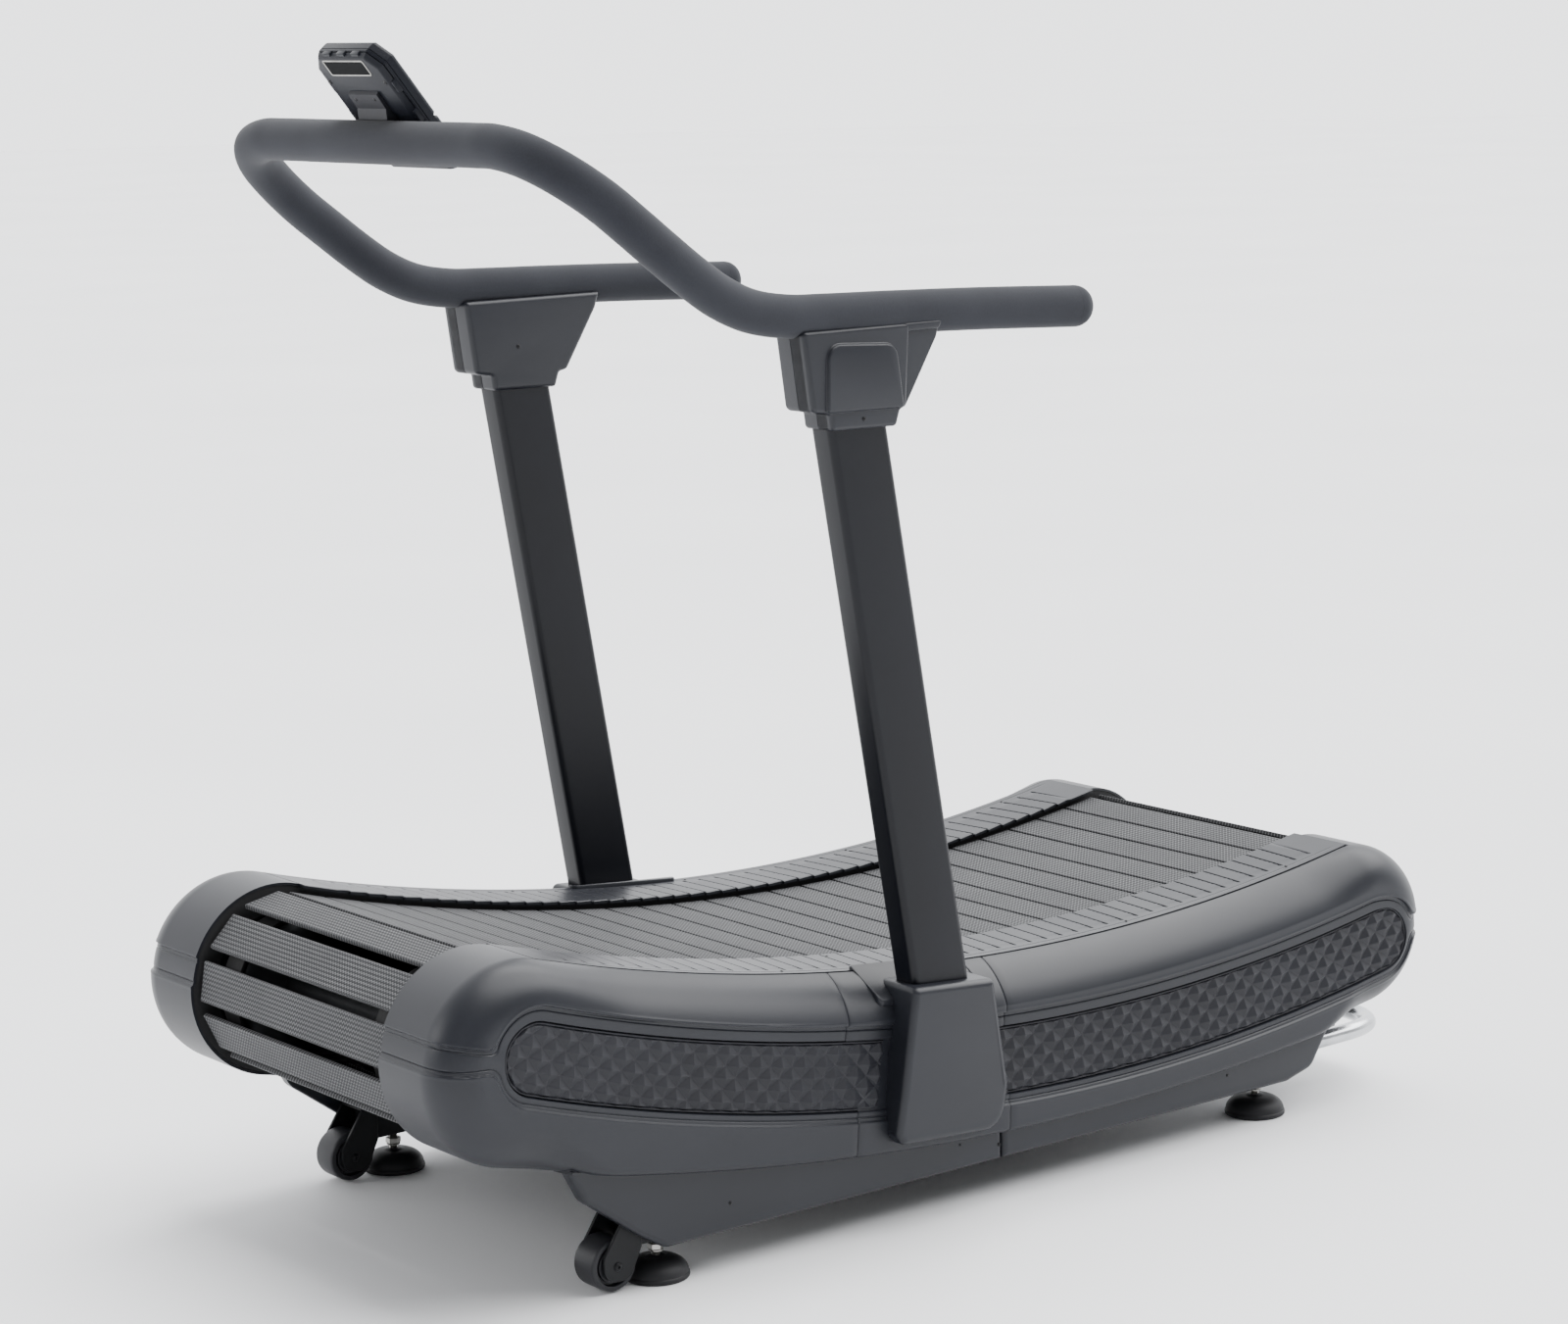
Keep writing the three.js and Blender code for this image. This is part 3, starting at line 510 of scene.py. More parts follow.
def spread(start, end, near, gap, fine):
    """Numbers from start to end, gap apart, but fine apart close to the places in near."""
    coarse = np.linspace(start, end, max(2, int(abs(end - start) / gap) + 1))
    extra = [np.arange(p - w, p + w, fine) for p, w in near]
    every = np.unique(np.round(np.concatenate([coarse, *extra]), 4))
    low, high = min(start, end), max(start, end)
    every = every[(every >= low) & (every <= high)]
    keep = np.concatenate([[True], np.diff(every) > fine * 0.4])
    keep[-1] = True
    every = every[keep]
    return every if start <= end else every[::-1]


def cover_skin(points, normals, low_side, to_middle=False):
    """Grid of a cover's outer face and its normals. Each row runs in from the rim at x = 235,
    round the shoulder, and across the side to the inlay edge. Shoulder: a quarter round whose
    middle is drawn towards its chord along the straights, so it reads as a sloping face."""
    y = points[:, 0]
    under = low_side & (y > -745) & (y < 756)
    squared = np.where(under, smooth(-740, -620, y) * (1 - smooth(640, 750, y)), 0)
    round_r = SHOULDER - (SHOULDER - 9) * squared
    open_under = np.where(under, smooth(-716, -690, y) * (1 - smooth(690, 716, y)), 0)
    rim = COVER_RIM + (COVER_OUT - 14 - COVER_RIM) * open_under
    flatten = np.where(low_side, 0, 0.5 * smooth(-700, -560, y) * (1 - smooth(640, 760, y)))
    low, high = np.zeros(len(y)), np.full(len(y), 140.0)
    for _ in range(30):
        mid = (low + high) / 2
        spot = points - normals * mid[:, None]
        if to_middle:
            sign = band_place(spot[:, 0], spot[:, 1])[1]
            outside = sign > 0 if not low_side[0] else sign < 0
        else:
            outside = from_inlay(spot[:, 0], spot[:, 1]) > 0.4 - LEDGE
        low, high = np.where(outside, mid, low), np.where(outside, high, mid)
    reach = low
    flat = reach - round_r
    curve = round_r * np.pi / 2
    near = np.concatenate([np.arange(0, 34, 1.1), np.arange(35, 44, 2.0)])
    if to_middle:
        near = np.concatenate([np.arange(0, INLAY_HALF, 8), INLAY_HALF + near])
    else:
        near = np.concatenate([[0, LEDGE - 1.2, LEDGE - 0.6], LEDGE + near])
    share = np.linspace(0, 1, 23)[1:]
    far_w = near[-1] + share * ((flat + curve)[:, None] - near[-1])
    w = np.concatenate([np.broadcast_to(near, (len(y), len(near))), far_w], 1)
    bend = np.clip((w - flat[:, None]) / round_r[:, None], 0, np.pi / 2)
    inset = np.where(w < flat[:, None], reach[:, None] - w,
                     round_r[:, None] * (1 - np.sin(bend)))
    x = COVER_OUT - round_r[:, None] * (1 - np.cos(bend))
    t = bend / (np.pi / 2)
    chord_in, chord_x = round_r[:, None] * (1 - t), COVER_OUT - round_r[:, None] * t
    pull = flatten[:, None] * np.where(w < flat[:, None], 0, 1)
    inset = inset + (chord_in - inset) * pull
    x = x + (chord_x - x) * pull
    edge = np.array([0.004, 0.02, 0.2, 0.4, 0.6, 0.8, 0.975, 1.0])
    tube_x = x[:, -1:] - edge * (x[:, -1:] - rim[:, None])
    x = np.concatenate([x, tube_x], 1)
    inset = np.concatenate([inset, np.zeros_like(tube_x)], 1)
    w = np.concatenate([w, w[:, -1:] + edge * 95], 1)
    bend = np.concatenate([bend, np.full(tube_x.shape, np.pi / 2)], 1)
    flat_yz = points[:, None] - normals[:, None] * inset[..., None]
    skin = np.concatenate([x[..., None], flat_yz], -1)
    face = np.concatenate([np.cos(bend)[..., None],
                           normals[:, None] * np.sin(bend)[..., None]], -1)
    return skin, face, w


def channel_depth(skin, w, is_mid):
    """How far the skin is let in. Channel: within a set distance of the inlay, or within half
    a band of the line that leaves each inlay tip; the two are joined by a smooth minimum."""
    y, z = skin[..., 1], skin[..., 2]
    below = smooth(14, -14, band_place(y, z)[1])
    w = w - (INLAY_HALF if is_mid else LEDGE)
    gap = w - (21 - 6 * below)
    for tip, tilt, sign in (((-739.5, 347.5), 8.0, -1), ((776.5, 240.6), 7.6, 1)):
        way = np.array([sign * math.cos(math.radians(tilt)), math.sin(math.radians(tilt))])
        beyond = (y - tip[0]) * way[0] + (z - tip[1]) * way[1]
        aside = np.abs((z - tip[1]) * way[0] - (y - tip[0]) * way[1])
        half = 15.5 + 4.5 * smooth(60, 130, beyond)
        line = np.where(beyond > 0, aside - half, 60.0)
        mix = np.clip(0.5 + 0.5 * (gap - line) / 16, 0, 1)
        gap = gap * (1 - mix) + line * mix - 16 * mix * (1 - mix)
    deep = 4.9 - 2.2 * below
    if not is_mid:
        deep = 3.0 + (deep - 3.0) * smooth(62, 30, w)
    lip = deep * (1 - smooth(-1.5, 0.1, gap))
    line_cut = 1.4 * np.exp(-((gap + 6.5) / 0.9) ** 2)
    swell = -0.4 * np.exp(-((gap - 2.0) / 1.8) ** 2)
    if is_mid:
        ledge = smooth(1.5, -0.5, w)
        return (lip + line_cut + swell) + 3.6 * ledge
    ledge = smooth(0.4, -0.5, w)
    return (lip + line_cut + swell) * (1 - ledge) + (COVER_OUT - INLAY_BACK + 0.7) * ledge


def cover_finish(name, gloss):
    """Moulded charcoal plastic: fine spark grain, faint cloudy handling marks, dull sheen."""
    plastic = Finish(name, Specular_IOR_Level=gloss)
    grain = plastic.noise(1500, 2)
    marks = plastic.noise(4.5, 5)
    streaks = plastic.noise(14, 3, stretch=(1, 0.35, 1))
    tone = (marks * 0.6 + streaks * 0.4).step(0.32, 0.7)
    return plastic.surface(
        colour=plastic.blend(tone, (0.0088, 0.0098, 0.0136, 1), (0.0122, 0.0134, 0.0182, 1)),
        roughness=0.28 + marks * 0.16 + grain * 0.06,
        relief=grain, depth=0.00003)


cover_plastic = cover_finish("cover_plastic", 0.33)


def shell(skin, face, let_in, side):
    """Closed wall: the skin let in by its relief, and the same grid one wall further in."""
    skin = skin - face * let_in[..., None]
    inner = skin - face * WALL
    rows, columns = skin.shape[:2]
    flip = np.array([side, 1, 1])
    loop = np.concatenate([skin, inner[:, ::-1]], 1) * flip
    points = loop.reshape(-1, 3)
    wide = 2 * columns
    body = quads(rows, wide, round_columns=True)
    first = np.stack([np.arange(columns - 1), np.arange(1, columns),
                      wide - 2 - np.arange(columns - 1), wide - 1 - np.arange(columns - 1)], -1)
    last = first + (rows - 1) * wide
    return points, outward(points, [body, first[:, ::-1], last])


def seam_ease(count, first, last):
    """Rows beside a seam fall away by up to 1.1 mm, so the joint shows as a fine line."""
    drop = np.zeros(count)
    if first:
        drop[:3] = (1.1, 0.45, 0.1)
    if last:
        drop[-3:] = (0.1, 0.45, 1.1)
    return drop


def strip_seat(skin, low_side):
    """The shelf that the foot strip is let into, between its two ends."""
    y = skin[..., 1]
    on = (smooth(STRIP_FRONT - 1.5, STRIP_FRONT, y) * (1 - smooth(STRIP_REAR, STRIP_REAR + 1.5, y)))
    return STRIP_DEPTH * on * smooth(STRIP_OUT + 0.6, STRIP_OUT - 0.4, skin[..., 0]) \
        * ~low_side[:, None]


def cover_rows(kind):
    """Outline points and normals in order round one end of the machine, from seam to seam."""
    if kind == "front":
        tangent = (bearing(DRUM_FRONT, TOP_CENTRE), bearing(LOW_CENTRE, DRUM_FRONT) + 2 * math.pi)
        top_y = DRUM_FRONT[0] + (FRONT_RADIUS + COVER_OFFSET) * math.cos(tangent[0])
        low_y = DRUM_FRONT[0] + (FRONT_RADIUS + COVER_OFFSET) * math.cos(tangent[1])
        bend = spread(tangent[0], tangent[1], [(math.pi - 0.25, 0.3)], 0.06, 0.009)
        ends, which, seam = (STRIP_FRONT, -1), "nose", SEAM_FRONT - 0.4
    else:
        tangent = (bearing(DRUM_REAR, TOP_CENTRE), bearing(LOW_CENTRE, DRUM_REAR))
        top_y = DRUM_REAR[0] + (REAR_RADIUS + COVER_OFFSET) * math.cos(tangent[0])
        low_y = DRUM_REAR[0] + (REAR_RADIUS + COVER_OFFSET) * math.cos(tangent[1])
        bend = spread(tangent[0], tangent[1], [(0.0, 0.32)], 0.06, 0.010)
        ends, which, seam = (STRIP_REAR, 1), "tail", SEAM_REAR + 0.4
    inner = seam + 1.0 * ends[1], seam + 2.4 * ends[1]
    top = np.concatenate([[seam, inner[0]], spread(inner[1], top_y, [(ends[0], 3)], 11, 0.7)])
    low = np.concatenate([[seam, inner[0]], spread(inner[1], low_y, [], 11, 0.7)])[::-1]
    parts = [loop_points("top", top[:-1]), loop_points(which, bend), loop_points("low", low[1:])]
    low_side = np.concatenate([np.zeros(len(top) - 1, bool),
                               parts[1][0][:, 1] < (367 if kind == "front" else 254),
                               np.ones(len(low) - 1, bool)])
    return np.concatenate([p for p, _ in parts]), np.concatenate([n for _, n in parts]), low_side


def end_cover(kind, side):
    """Front or rear cover: one grid that runs from the top seam round the end and back."""
    points, normals, low_side = cover_rows(kind)
    skin, face, w = cover_skin(points, normals, low_side)
    let_in = channel_depth(skin, w, False) + strip_seat(skin, low_side)
    let_in += seam_ease(len(points), True, True)[:, None]
    return shell(skin, face, let_in, side)


def mid_cover(side):
    """Middle cover: one grid from the top rim down the side to the bottom edge."""
    at = np.concatenate([[SEAM_FRONT, SEAM_FRONT + 1], np.arange(SEAM_FRONT + 2.4, SEAM_REAR - 2, 9),
                         [SEAM_REAR - 2.4, SEAM_REAR - 1, SEAM_REAR]])
    halves = []
    for which, low in (("top", False), ("low", True)):
        points, normals = loop_points(which, at)
        low_side = np.full(len(at), low)
        skin, face, w = cover_skin(points, normals, low_side, True)
        let_in = channel_depth(skin, w, True) + strip_seat(skin, low_side)
        let_in += seam_ease(len(at), True, True)[:, None]
        halves.append((skin, face, let_in))
    joined = [np.concatenate([a[:, ::-1], b[:, 1:]], 1) for a, b in zip(*halves)]
    return shell(*joined, side)


def mirrored(part, side):
    """The same closed form on the side asked for, with its faces still turned out."""
    points = part[0] * np.array([side, 1, 1])
    return points, outward(points, part[1])


def rim_liner(side):
    """Inner closing plate of a cover: a flat band all round the loop, 36 mm deep, that
    hides the space between the rim and the side plate."""
    whole = [loop_points("top", np.linspace(-700, 730, 60)[::-1])]
    nose = (bearing(DRUM_FRONT, TOP_CENTRE), bearing(LOW_CENTRE, DRUM_FRONT) + 2 * math.pi)
    tail = (bearing(LOW_CENTRE, DRUM_REAR), bearing(DRUM_REAR, TOP_CENTRE))
    whole += [loop_points("nose", np.linspace(*nose, 40)),
              loop_points("low", np.linspace(-700, 700, 60)),
              loop_points("tail", np.linspace(*tail, 40))]
    points = np.concatenate([p for p, _ in whole])
    normals = np.concatenate([n for _, n in whole])
    corners = ((236.0, 4.0), (238.4, 4.0), (238.4, 40.0), (236.0, 40.0))
    grid = np.stack([np.concatenate([np.full((len(points), 1), x), points - normals * inset], 1)
                     for x, inset in corners], 1)
    return mirrored(torus(grid), side)


for side, sign in (("left", 1), ("right", -1)):
    make(f"{side}_rim_liner", [rim_liner(sign)], belt_rubber, "base")
    for kind in ("front", "rear"):
        make(f"{side}_{kind}_cover_shell", [end_cover(kind, sign)], cover_plastic, "base",
             [f"{side}_{kind}_cover"], 24)
    make(f"{side}_mid_cover_shell", [mid_cover(sign)], cover_plastic, "base",
         [f"{side}_mid_cover"], 24)

# ---- inlays -----------------------------------------------------------------------
# Softer dark panels clipped into the side channel: rows of small raised pyramids inside
# a rolled border, round at the outer end and cut square where they run under the boot.
PYRAMID_LONG, PYRAMID_TALL, PYRAMID_RISE = 37.0, 31.0, 5.8


def inlay_panel(y_cut, end, side):
    """Panel from its cut end to its round tip. The face rises by pyramids: one less the
    larger of two sawteeth that run along the two slants of the lattice."""
    cut = float(band_place(y_cut, band_height(y_cut))[0])
    tip = BAND_ENDS[end] + (INLAY_HALF - 0.4) * (-1 if end == 0 else 1)
    body = np.arange(cut, BAND_ENDS[end], 1.25 * np.sign(tip - cut))
    bend = BAND_ENDS[end] + (tip - BAND_ENDS[end]) * np.sin(np.linspace(0, np.pi / 2, 46))
    along = np.concatenate([body, bend])[:, None]
    past = np.clip((along - BAND_ENDS[end]) / (tip - BAND_ENDS[end]), 0, 1)
    half = (INLAY_HALF - 0.4) * np.sqrt(1 - np.minimum(past, 0.99995) ** 2)
    up = half * np.concatenate([[-1, -0.99, -0.975], np.linspace(-0.955, 0.955, 68),
                                [0.975, 0.99, 1]])
    along = np.broadcast_to(along, up.shape)
    p, q = along / PYRAMID_LONG, up / PYRAMID_TALL
    s, t = p + q, p - q
    slope_s = np.abs(2 * (s - np.floor(s)) - 1)
    slope_t = np.abs(2 * (t - np.floor(t)) - 1)
    pyramid = PYRAMID_RISE * (1 - np.maximum(slope_s, slope_t))
    side_y, side_z = band_point(along, up)
    edge = -from_inlay(side_y, side_z) - 0.4
    field = smooth(3.6, 5.2, edge)
    border = 2.6 * smooth(0, 0.9, edge) * (1 - smooth(2.3, 3.4, edge))
    x = INLAY_FACE + field * (0.6 + pyramid) + border
    face = np.stack([x, side_y, side_z], -1)
    back = face.copy()
    back[..., 0] = INLAY_BACK
    loop = np.concatenate([face, back[:, ::-1]], 1) * np.array([side, 1, 1])
    return rings(loop)


def band_height(y):
    return INLAY_CENTRE[1] - math.sqrt(INLAY_ARC ** 2 - (y - INLAY_CENTRE[0]) ** 2)


def inlay_finish():
    """Semi-soft black-grey moulding with a fine leathery grain."""
    soft = Finish("inlay_plastic", Specular_IOR_Level=0.3)
    grain = soft.noise(1100, 3)
    cloud = soft.noise(7, 3)
    return soft.surface(
        colour=soft.blend(cloud.step(0.3, 0.7), (0.0105, 0.0108, 0.0142, 1), (0.0145, 0.015, 0.0195, 1)),
        roughness=0.46 + grain * 0.12, relief=grain, depth=0.00004)


inlay_plastic = inlay_finish()
for side, sign in (("left", 1), ("right", -1)):
    for kind, y_cut, end in (("front", -190, 0), ("rear", 14, 1)):
        make(f"{side}_{kind}_inlay_panel", [inlay_panel(y_cut, end, sign)], inlay_plastic, "base",
             [f"{side}_{kind}_inlay"], 22)

# ---- foot strips -------------------------------------------------------------------
# Moulded strips beside the belt where a runner can stand: flat treads with a slot between
# each two, a saw-edged inner side over the slat ends, and small screws down into the rails.
STRIP_IN, SLOT_PITCH, SLOT_LENGTH, SLOT_SLANT = 222.0, 29.0, 84.0, -0.09


def foot_strip(side):
    """Grid over the strip. Slots: a notch across each pitch, slanted, that ends in a round
    end; the treads between them tilt a little so each stands proud of the next."""
    y = np.concatenate([[-701.7, -700.8], np.arange(-699, 750, 0.95), [750.8, 751.7]])[:, None]
    share = np.concatenate([[0, 0.006, 0.014], np.linspace(0.03, 0.86, 34),
                            np.linspace(0.872, 0.985, 9), [1.0]])[None]
    phase = (y + 20) / SLOT_PITCH
    saw = phase - np.floor(phase)
    ribbed = smooth(-652, -640, y) * (1 - smooth(694, 706, y))
    inner = STRIP_IN + 3.4 * saw * ribbed
    x = inner + share * (STRIP_OUT + 0.2 - inner)
    slant = (y + 20 - SLOT_SLANT * (x - STRIP_IN)) / SLOT_PITCH
    off = (slant - np.round(slant)) * SLOT_PITCH
    past = np.maximum(x - (STRIP_IN + SLOT_LENGTH), 0)
    slot = (1 - smooth(1.3, 2.3, np.hypot(off, past))) * ribbed * smooth(224, 229, x)
    tilt = 0.9 * (slant - np.floor(slant)) * ribbed * (1 - smooth(0, 14, x - STRIP_IN - 70))
    line = 0.8 * np.exp(-((x - 318.5) / 1.0) ** 2) * smooth(-690, -670, y) * (1 - smooth(722, 740, y))
    ease = 0.9 * smooth(1.2, 0, x - inner)
    rise = tilt - 3.4 * slot - line - ease + 0.2
    points, normals = loop_points("top", y[:, 0])
    top = points[:, None] + normals[:, None] * rise[..., None]
    low = points[:, None] - normals[:, None] * 4.0 + 0 * top
    face = np.concatenate([x[..., None], top], -1)
    under = np.concatenate([x[..., None], low], -1)
    loop = np.concatenate([face, under[:, [-1, 0]]], 1) * np.array([side, 1, 1])
    return rings(loop)


for side, sign in (("left", 1), ("right", -1)):
    make(f"{side}_foot_strip_tread", [foot_strip(sign)], cover_plastic, "base",
         [f"{side}_foot_strip"], 30)

# ---- skirts ------------------------------------------------------------------------
# Lower side panels of the same plastic, screwed to the floor rails inside the covers.
SKIRT_OUT, SKIRT_IN, SKIRT_BOTTOM = 372.0, 349.0, 55.0


def low_height(y, depth):
    """Height of the lower run's arc at y, sunk below the slat faces by depth."""
    return LOW_CENTRE[1] - np.sqrt((LOW_RADIUS + depth) ** 2 - (y - LOW_CENTRE[0]) ** 2)


def stack(edge, levels, warp=None):
    """A closed form from one outline: each level is (x, inset), the outline moved in by inset."""
    lines = [(x, edge(inset)) for x, inset in levels]
    grid = np.stack([np.concatenate([np.full((len(line), 1), x), line], 1) for x, line in lines])
    return rings(grid if warp is None else warp(grid))


def eased(x0, x1, radius, back=1.5, steps=7):
    """Levels of a slab from x0 to x1 whose outer edge is a quarter round of that radius."""
    turn = np.linspace(0, np.pi / 2, steps)
    return ([(x0, back), (x0 + back, 0)] +
            list(zip(x1 - radius + radius * np.sin(turn), radius * (1 - np.cos(turn)))))


def skirt(y_from, y_to, side):
    """Skirt panel: the lower outline with rounded corners, and an 11 mm rounded outer edge."""
    nose = [(-700, low_height(-700, -8)), (-664, 142), (-582, 82), (-540, SKIRT_BOTTOM)]
    tail = [(590, SKIRT_BOTTOM), (640, 68), (692, low_height(692, -8))]
    if y_from < -600:
        ys = np.linspace(y_to, -700, 9)[:-1]
        outline = nose + [(y_to, SKIRT_BOTTOM)] + [(y, low_height(y, -8)) for y in ys]
        radii = [3, 30, 60, 26, 1.2, 1.2] + [0.5] * (len(ys) - 1)
    else:
        ys = np.linspace(692, y_from, 9)[1:]
        outline = tail + [(y, low_height(y, -8)) for y in ys] + [(y_from, SKIRT_BOTTOM)]
        radii = [26, 26, 3] + [0.5] * (len(ys) - 1) + [1.2, 1.2]
    line = rounded(outline, radii, 7)
    return [mirrored(stack(line, eased(SKIRT_IN, SKIRT_OUT, 9)), side)]


for side, sign in (("left", 1), ("right", -1)):
    make(f"{side}_front_skirt_panel", skirt(-700, SEAM_REAR - 0.5, sign), cover_plastic, "base",
         [f"{side}_front_skirt"])
    make(f"{side}_rear_skirt_panel", skirt(SEAM_REAR + 0.5, 692, sign), cover_plastic, "base",
         [f"{side}_rear_skirt"])

# ---- uprights ----------------------------------------------------------------------
# Two raked rectangular steel tubes with rolled corners in satin black paint, welded to a
# flange inside the covers.
UPRIGHT_AT, RAKE = np.array([382.2, -96.0, 332.0]), math.radians(9.3)
UPRIGHT_WIDE, UPRIGHT_DEEP = 43.9, 95.2


def raked(grid):
    """Leans a form in the upright's own frame forwards, about X, and sets it in place."""
    x, y, z = np.moveaxis(grid, -1, 0)
    return UPRIGHT_AT + np.stack([x, y * math.cos(RAKE) - z * math.sin(RAKE),
                                  y * math.sin(RAKE) + z * math.cos(RAKE)], -1)


def upright(side):
    a, b = UPRIGHT_WIDE / 2, UPRIGHT_DEEP / 2
    line = rounded([(-a, -b), (a, -b), (a, b), (-a, b)], 9.5, 9)()
    heights = np.linspace(-184, 868, 12)
    grid = np.stack([np.concatenate([line, np.full((len(line), 1), z)], 1) for z in heights])
    tube = rings(raked(grid))
    foot = rounded([(-128, 158), (-40, 158), (-40, 226), (-128, 226)], 4)
    flange = stack(foot, [(305.3, 1), (306.3, 0), (360.5, 0), (361.5, 1)])
    return [mirrored(tube, side), mirrored(flange, side)]


upright_paint = powder_coat("upright_paint", (0.0034, 0.0038, 0.0058, 1),
                            (0.0050, 0.0056, 0.0082, 1), 0.3)
for side, sign in (("left", 1), ("right", -1)):
    make(f"{side}_upright_tube", upright(sign), upright_paint, "base", [f"{side}_upright"])

# ---- boots -------------------------------------------------------------------------
# Thick moulded boots over the foot of each upright, with a bent outer face and a thin
# collar plate that laps the shoulder of the covers.
BOOT_IN, BOOT_OUT = 350.0, 424.0


def on_shoulder(grid):
    """Lays a plate, given as (height, y, x), on the cover: flat as far as the foot strip's
    edge, then down the shoulder half way between its quarter round and its chord."""
    height, y, x = np.moveaxis(grid, -1, 0)
    out = np.clip((x - STRIP_OUT) / SHOULDER, 0, 1)
    drop = SHOULDER * (0.5 * (1 - np.sqrt(1 - out ** 2)) + 0.5 * out)
    arc = TOP_CENTRE[1] - np.sqrt((TOP_RADIUS - COVER_OFFSET) ** 2 - (y - TOP_CENTRE[0]) ** 2)
    return np.stack([x + height * out * 0.7, y, arc - drop + height], -1)


def boot(side):
    """Boot body, whose outer face is drawn in below the knee, and its thin collar plate."""
    outline = [(-184, 140), (-172, 124), (4, 113), (9, 176), (-20, 330), (-160, 341), (-180, 190)]
    line = rounded(outline, [14, 12, 33, 40, 9, 9, 50], 9)

    def bend(grid):
        x, y, z = np.moveaxis(grid, -1, 0)
        share = (x - BOOT_IN) / (BOOT_OUT - BOOT_IN)
        x = x - share * 15 * smooth(250, 95, z)
        return np.stack([x, y, z], -1)

    levels = [(BOOT_IN, 0), (372, 0), (390, 0), (400, 0)] + eased(400, BOOT_OUT, 10, 0, 9)[2:]
    body = stack(line, levels, bend)
    collar = stack(rounded([(-193, 318), (-4, 318), (-2, 380), (-187, 380)], 9, 8),
                   [(-3, 0), (3.2, 0), (4.4, 0.6), (5.0, 2.0)], on_shoulder)
    return [mirrored(body, side), mirrored(collar, side)]


for side, sign in (("left", 1), ("right", -1)):
    make(f"{side}_boot_shell", boot(sign), cover_plastic, "base", [f"{side}_upright_boot"],
         38)

# ---- handlebar brackets ---------------------------------------------------------------
# Two moulded shells a side, screwed together round the head of the upright, with a raised
# pad outside and a wing that runs back under the grip.
BRACKET_SEAM = 385.2
BRACKET = [(-318, 1221), (-304, 1117), (-276, 1113), (-273, 1091), (-166, 1089), (-159, 1110),
           (-145, 1113), (-92, 1198), (-84, 1221)]
BRACKET_ROUND = [6, 9, 5, 6, 6, 7, 9, 7, 2.5]


def bracket_shell(side, outer):
    """One half shell. The outer one is a thick body, a thin web that closes the wing behind
    it, and a thick lip along the top of the wing."""
    line = rounded(BRACKET, BRACKET_ROUND, 6)
    if not outer:
        levels = [(2 * 369.6 - x, inset) for x, inset in eased(354.1, 385, 7, 0.7, 8)]
        return [mirrored(stack(line, levels), side)]
    body = rounded(BRACKET[:6] + [(-149, 1113), (-141, 1221)], BRACKET_ROUND[:6] + [4, 2.5], 6)
    lip = rounded([(-150, 1209.5), (-92, 1209.5), (-86, 1221), (-150, 1221)], [1, 4, 3, 1], 5)
    base = BRACKET_SEAM + 0.3
    return [mirrored(stack(part, eased(base, top, ease, 0.7, 8)), side)
            for part, top, ease in ((line, 408, 3), (body, 415, 6), (lip, 414.5, 3.5))]


def bracket_pad(side):
    """Raised outer pad, its foot flared into the face and its rim softly rounded."""
    line = rounded([(-283, 1116), (-157, 1113), (-168, 1196), (-280, 1203)],
                   [3, 3, 20, 20], 8)
    levels = [(412, 0), (413.5, 0), (415.2, -1.6), (416, -0.6), (417.2, 0), (418.6, 0.5),
              (419.6, 1.5), (420, 3.0)]
    return mirrored(stack(line, levels), side)


for side, sign in (("left", 1), ("right", -1)):
    make(f"{side}_bracket_outer", bracket_shell(sign, True) + [bracket_pad(sign)],
         cover_plastic, "base", [f"{side}_bracket_outer_shell"], 40)
    make(f"{side}_bracket_inner", bracket_shell(sign, False), cover_plastic, "base",
         [f"{side}_bracket_inner_shell"], 40)

# ---- handlebar -----------------------------------------------------------------------
# One bent steel tube inside a thick foam sleeve: two straight grips, S-shaped arms and a
# crossbar, with the foam closed and rounded over the ends of the grips.
FOAM_RADIUS = 28.0
HALF_BAR = [(388, 160, 1220), (388, 0, 1228), (388, -160, 1234), (388, -260, 1237),
            (388, -324, 1240), (388, -382, 1251), (388, -428, 1271), (388, -468, 1297),
            (388, -520, 1336), (388, -560, 1367), (381, -600, 1400), (358, -641, 1433),
            (320, -668, 1456), (273, -678, 1466), (228, -679, 1467), (120, -679, 1467)]


def curve_through(points, count):
    """A smooth line through points: centripetal Catmull-Rom, then evened out by length."""
    p = np.array(points, float)
    p = np.concatenate([[2 * p[0] - p[1]], p, [2 * p[-1] - p[-2]]])
    knot = np.concatenate([[0], np.cumsum(np.linalg.norm(np.diff(p, axis=0), axis=1) ** 0.5)])
    share = np.linspace(0, 1, 24, endpoint=False)[None, :]
    t0, t1, t2, t3 = (knot[k:len(knot) - 3 + k, None] for k in range(4))
    t = (t1 + (t2 - t1) * share)[..., None]
    t0, t1, t2, t3 = (k[..., None] for k in (t0, t1, t2, t3))
    p0, p1, p2, p3 = (p[k:len(p) - 3 + k, None] for k in range(4))
    a = (p0 * (t1 - t) + p1 * (t - t0)) / (t1 - t0)
    b = (p1 * (t2 - t) + p2 * (t - t1)) / (t2 - t1)
    c = (p2 * (t3 - t) + p3 * (t - t2)) / (t3 - t2)
    d = (a * (t2 - t) + b * (t - t0)) / (t2 - t0)
    e = (b * (t3 - t) + c * (t - t1)) / (t3 - t1)
    line = ((d * (t2 - t) + e * (t - t1)) / (t2 - t1)).reshape(-1, 3)
    line = np.concatenate([line, p[-2:-1]])
    length = np.concatenate([[0], np.cumsum(np.linalg.norm(np.diff(line, axis=0), axis=1))])
    at = np.linspace(0, length[-1], count)
    return np.stack([np.interp(at, length, line[:, k]) for k in range(3)], -1)


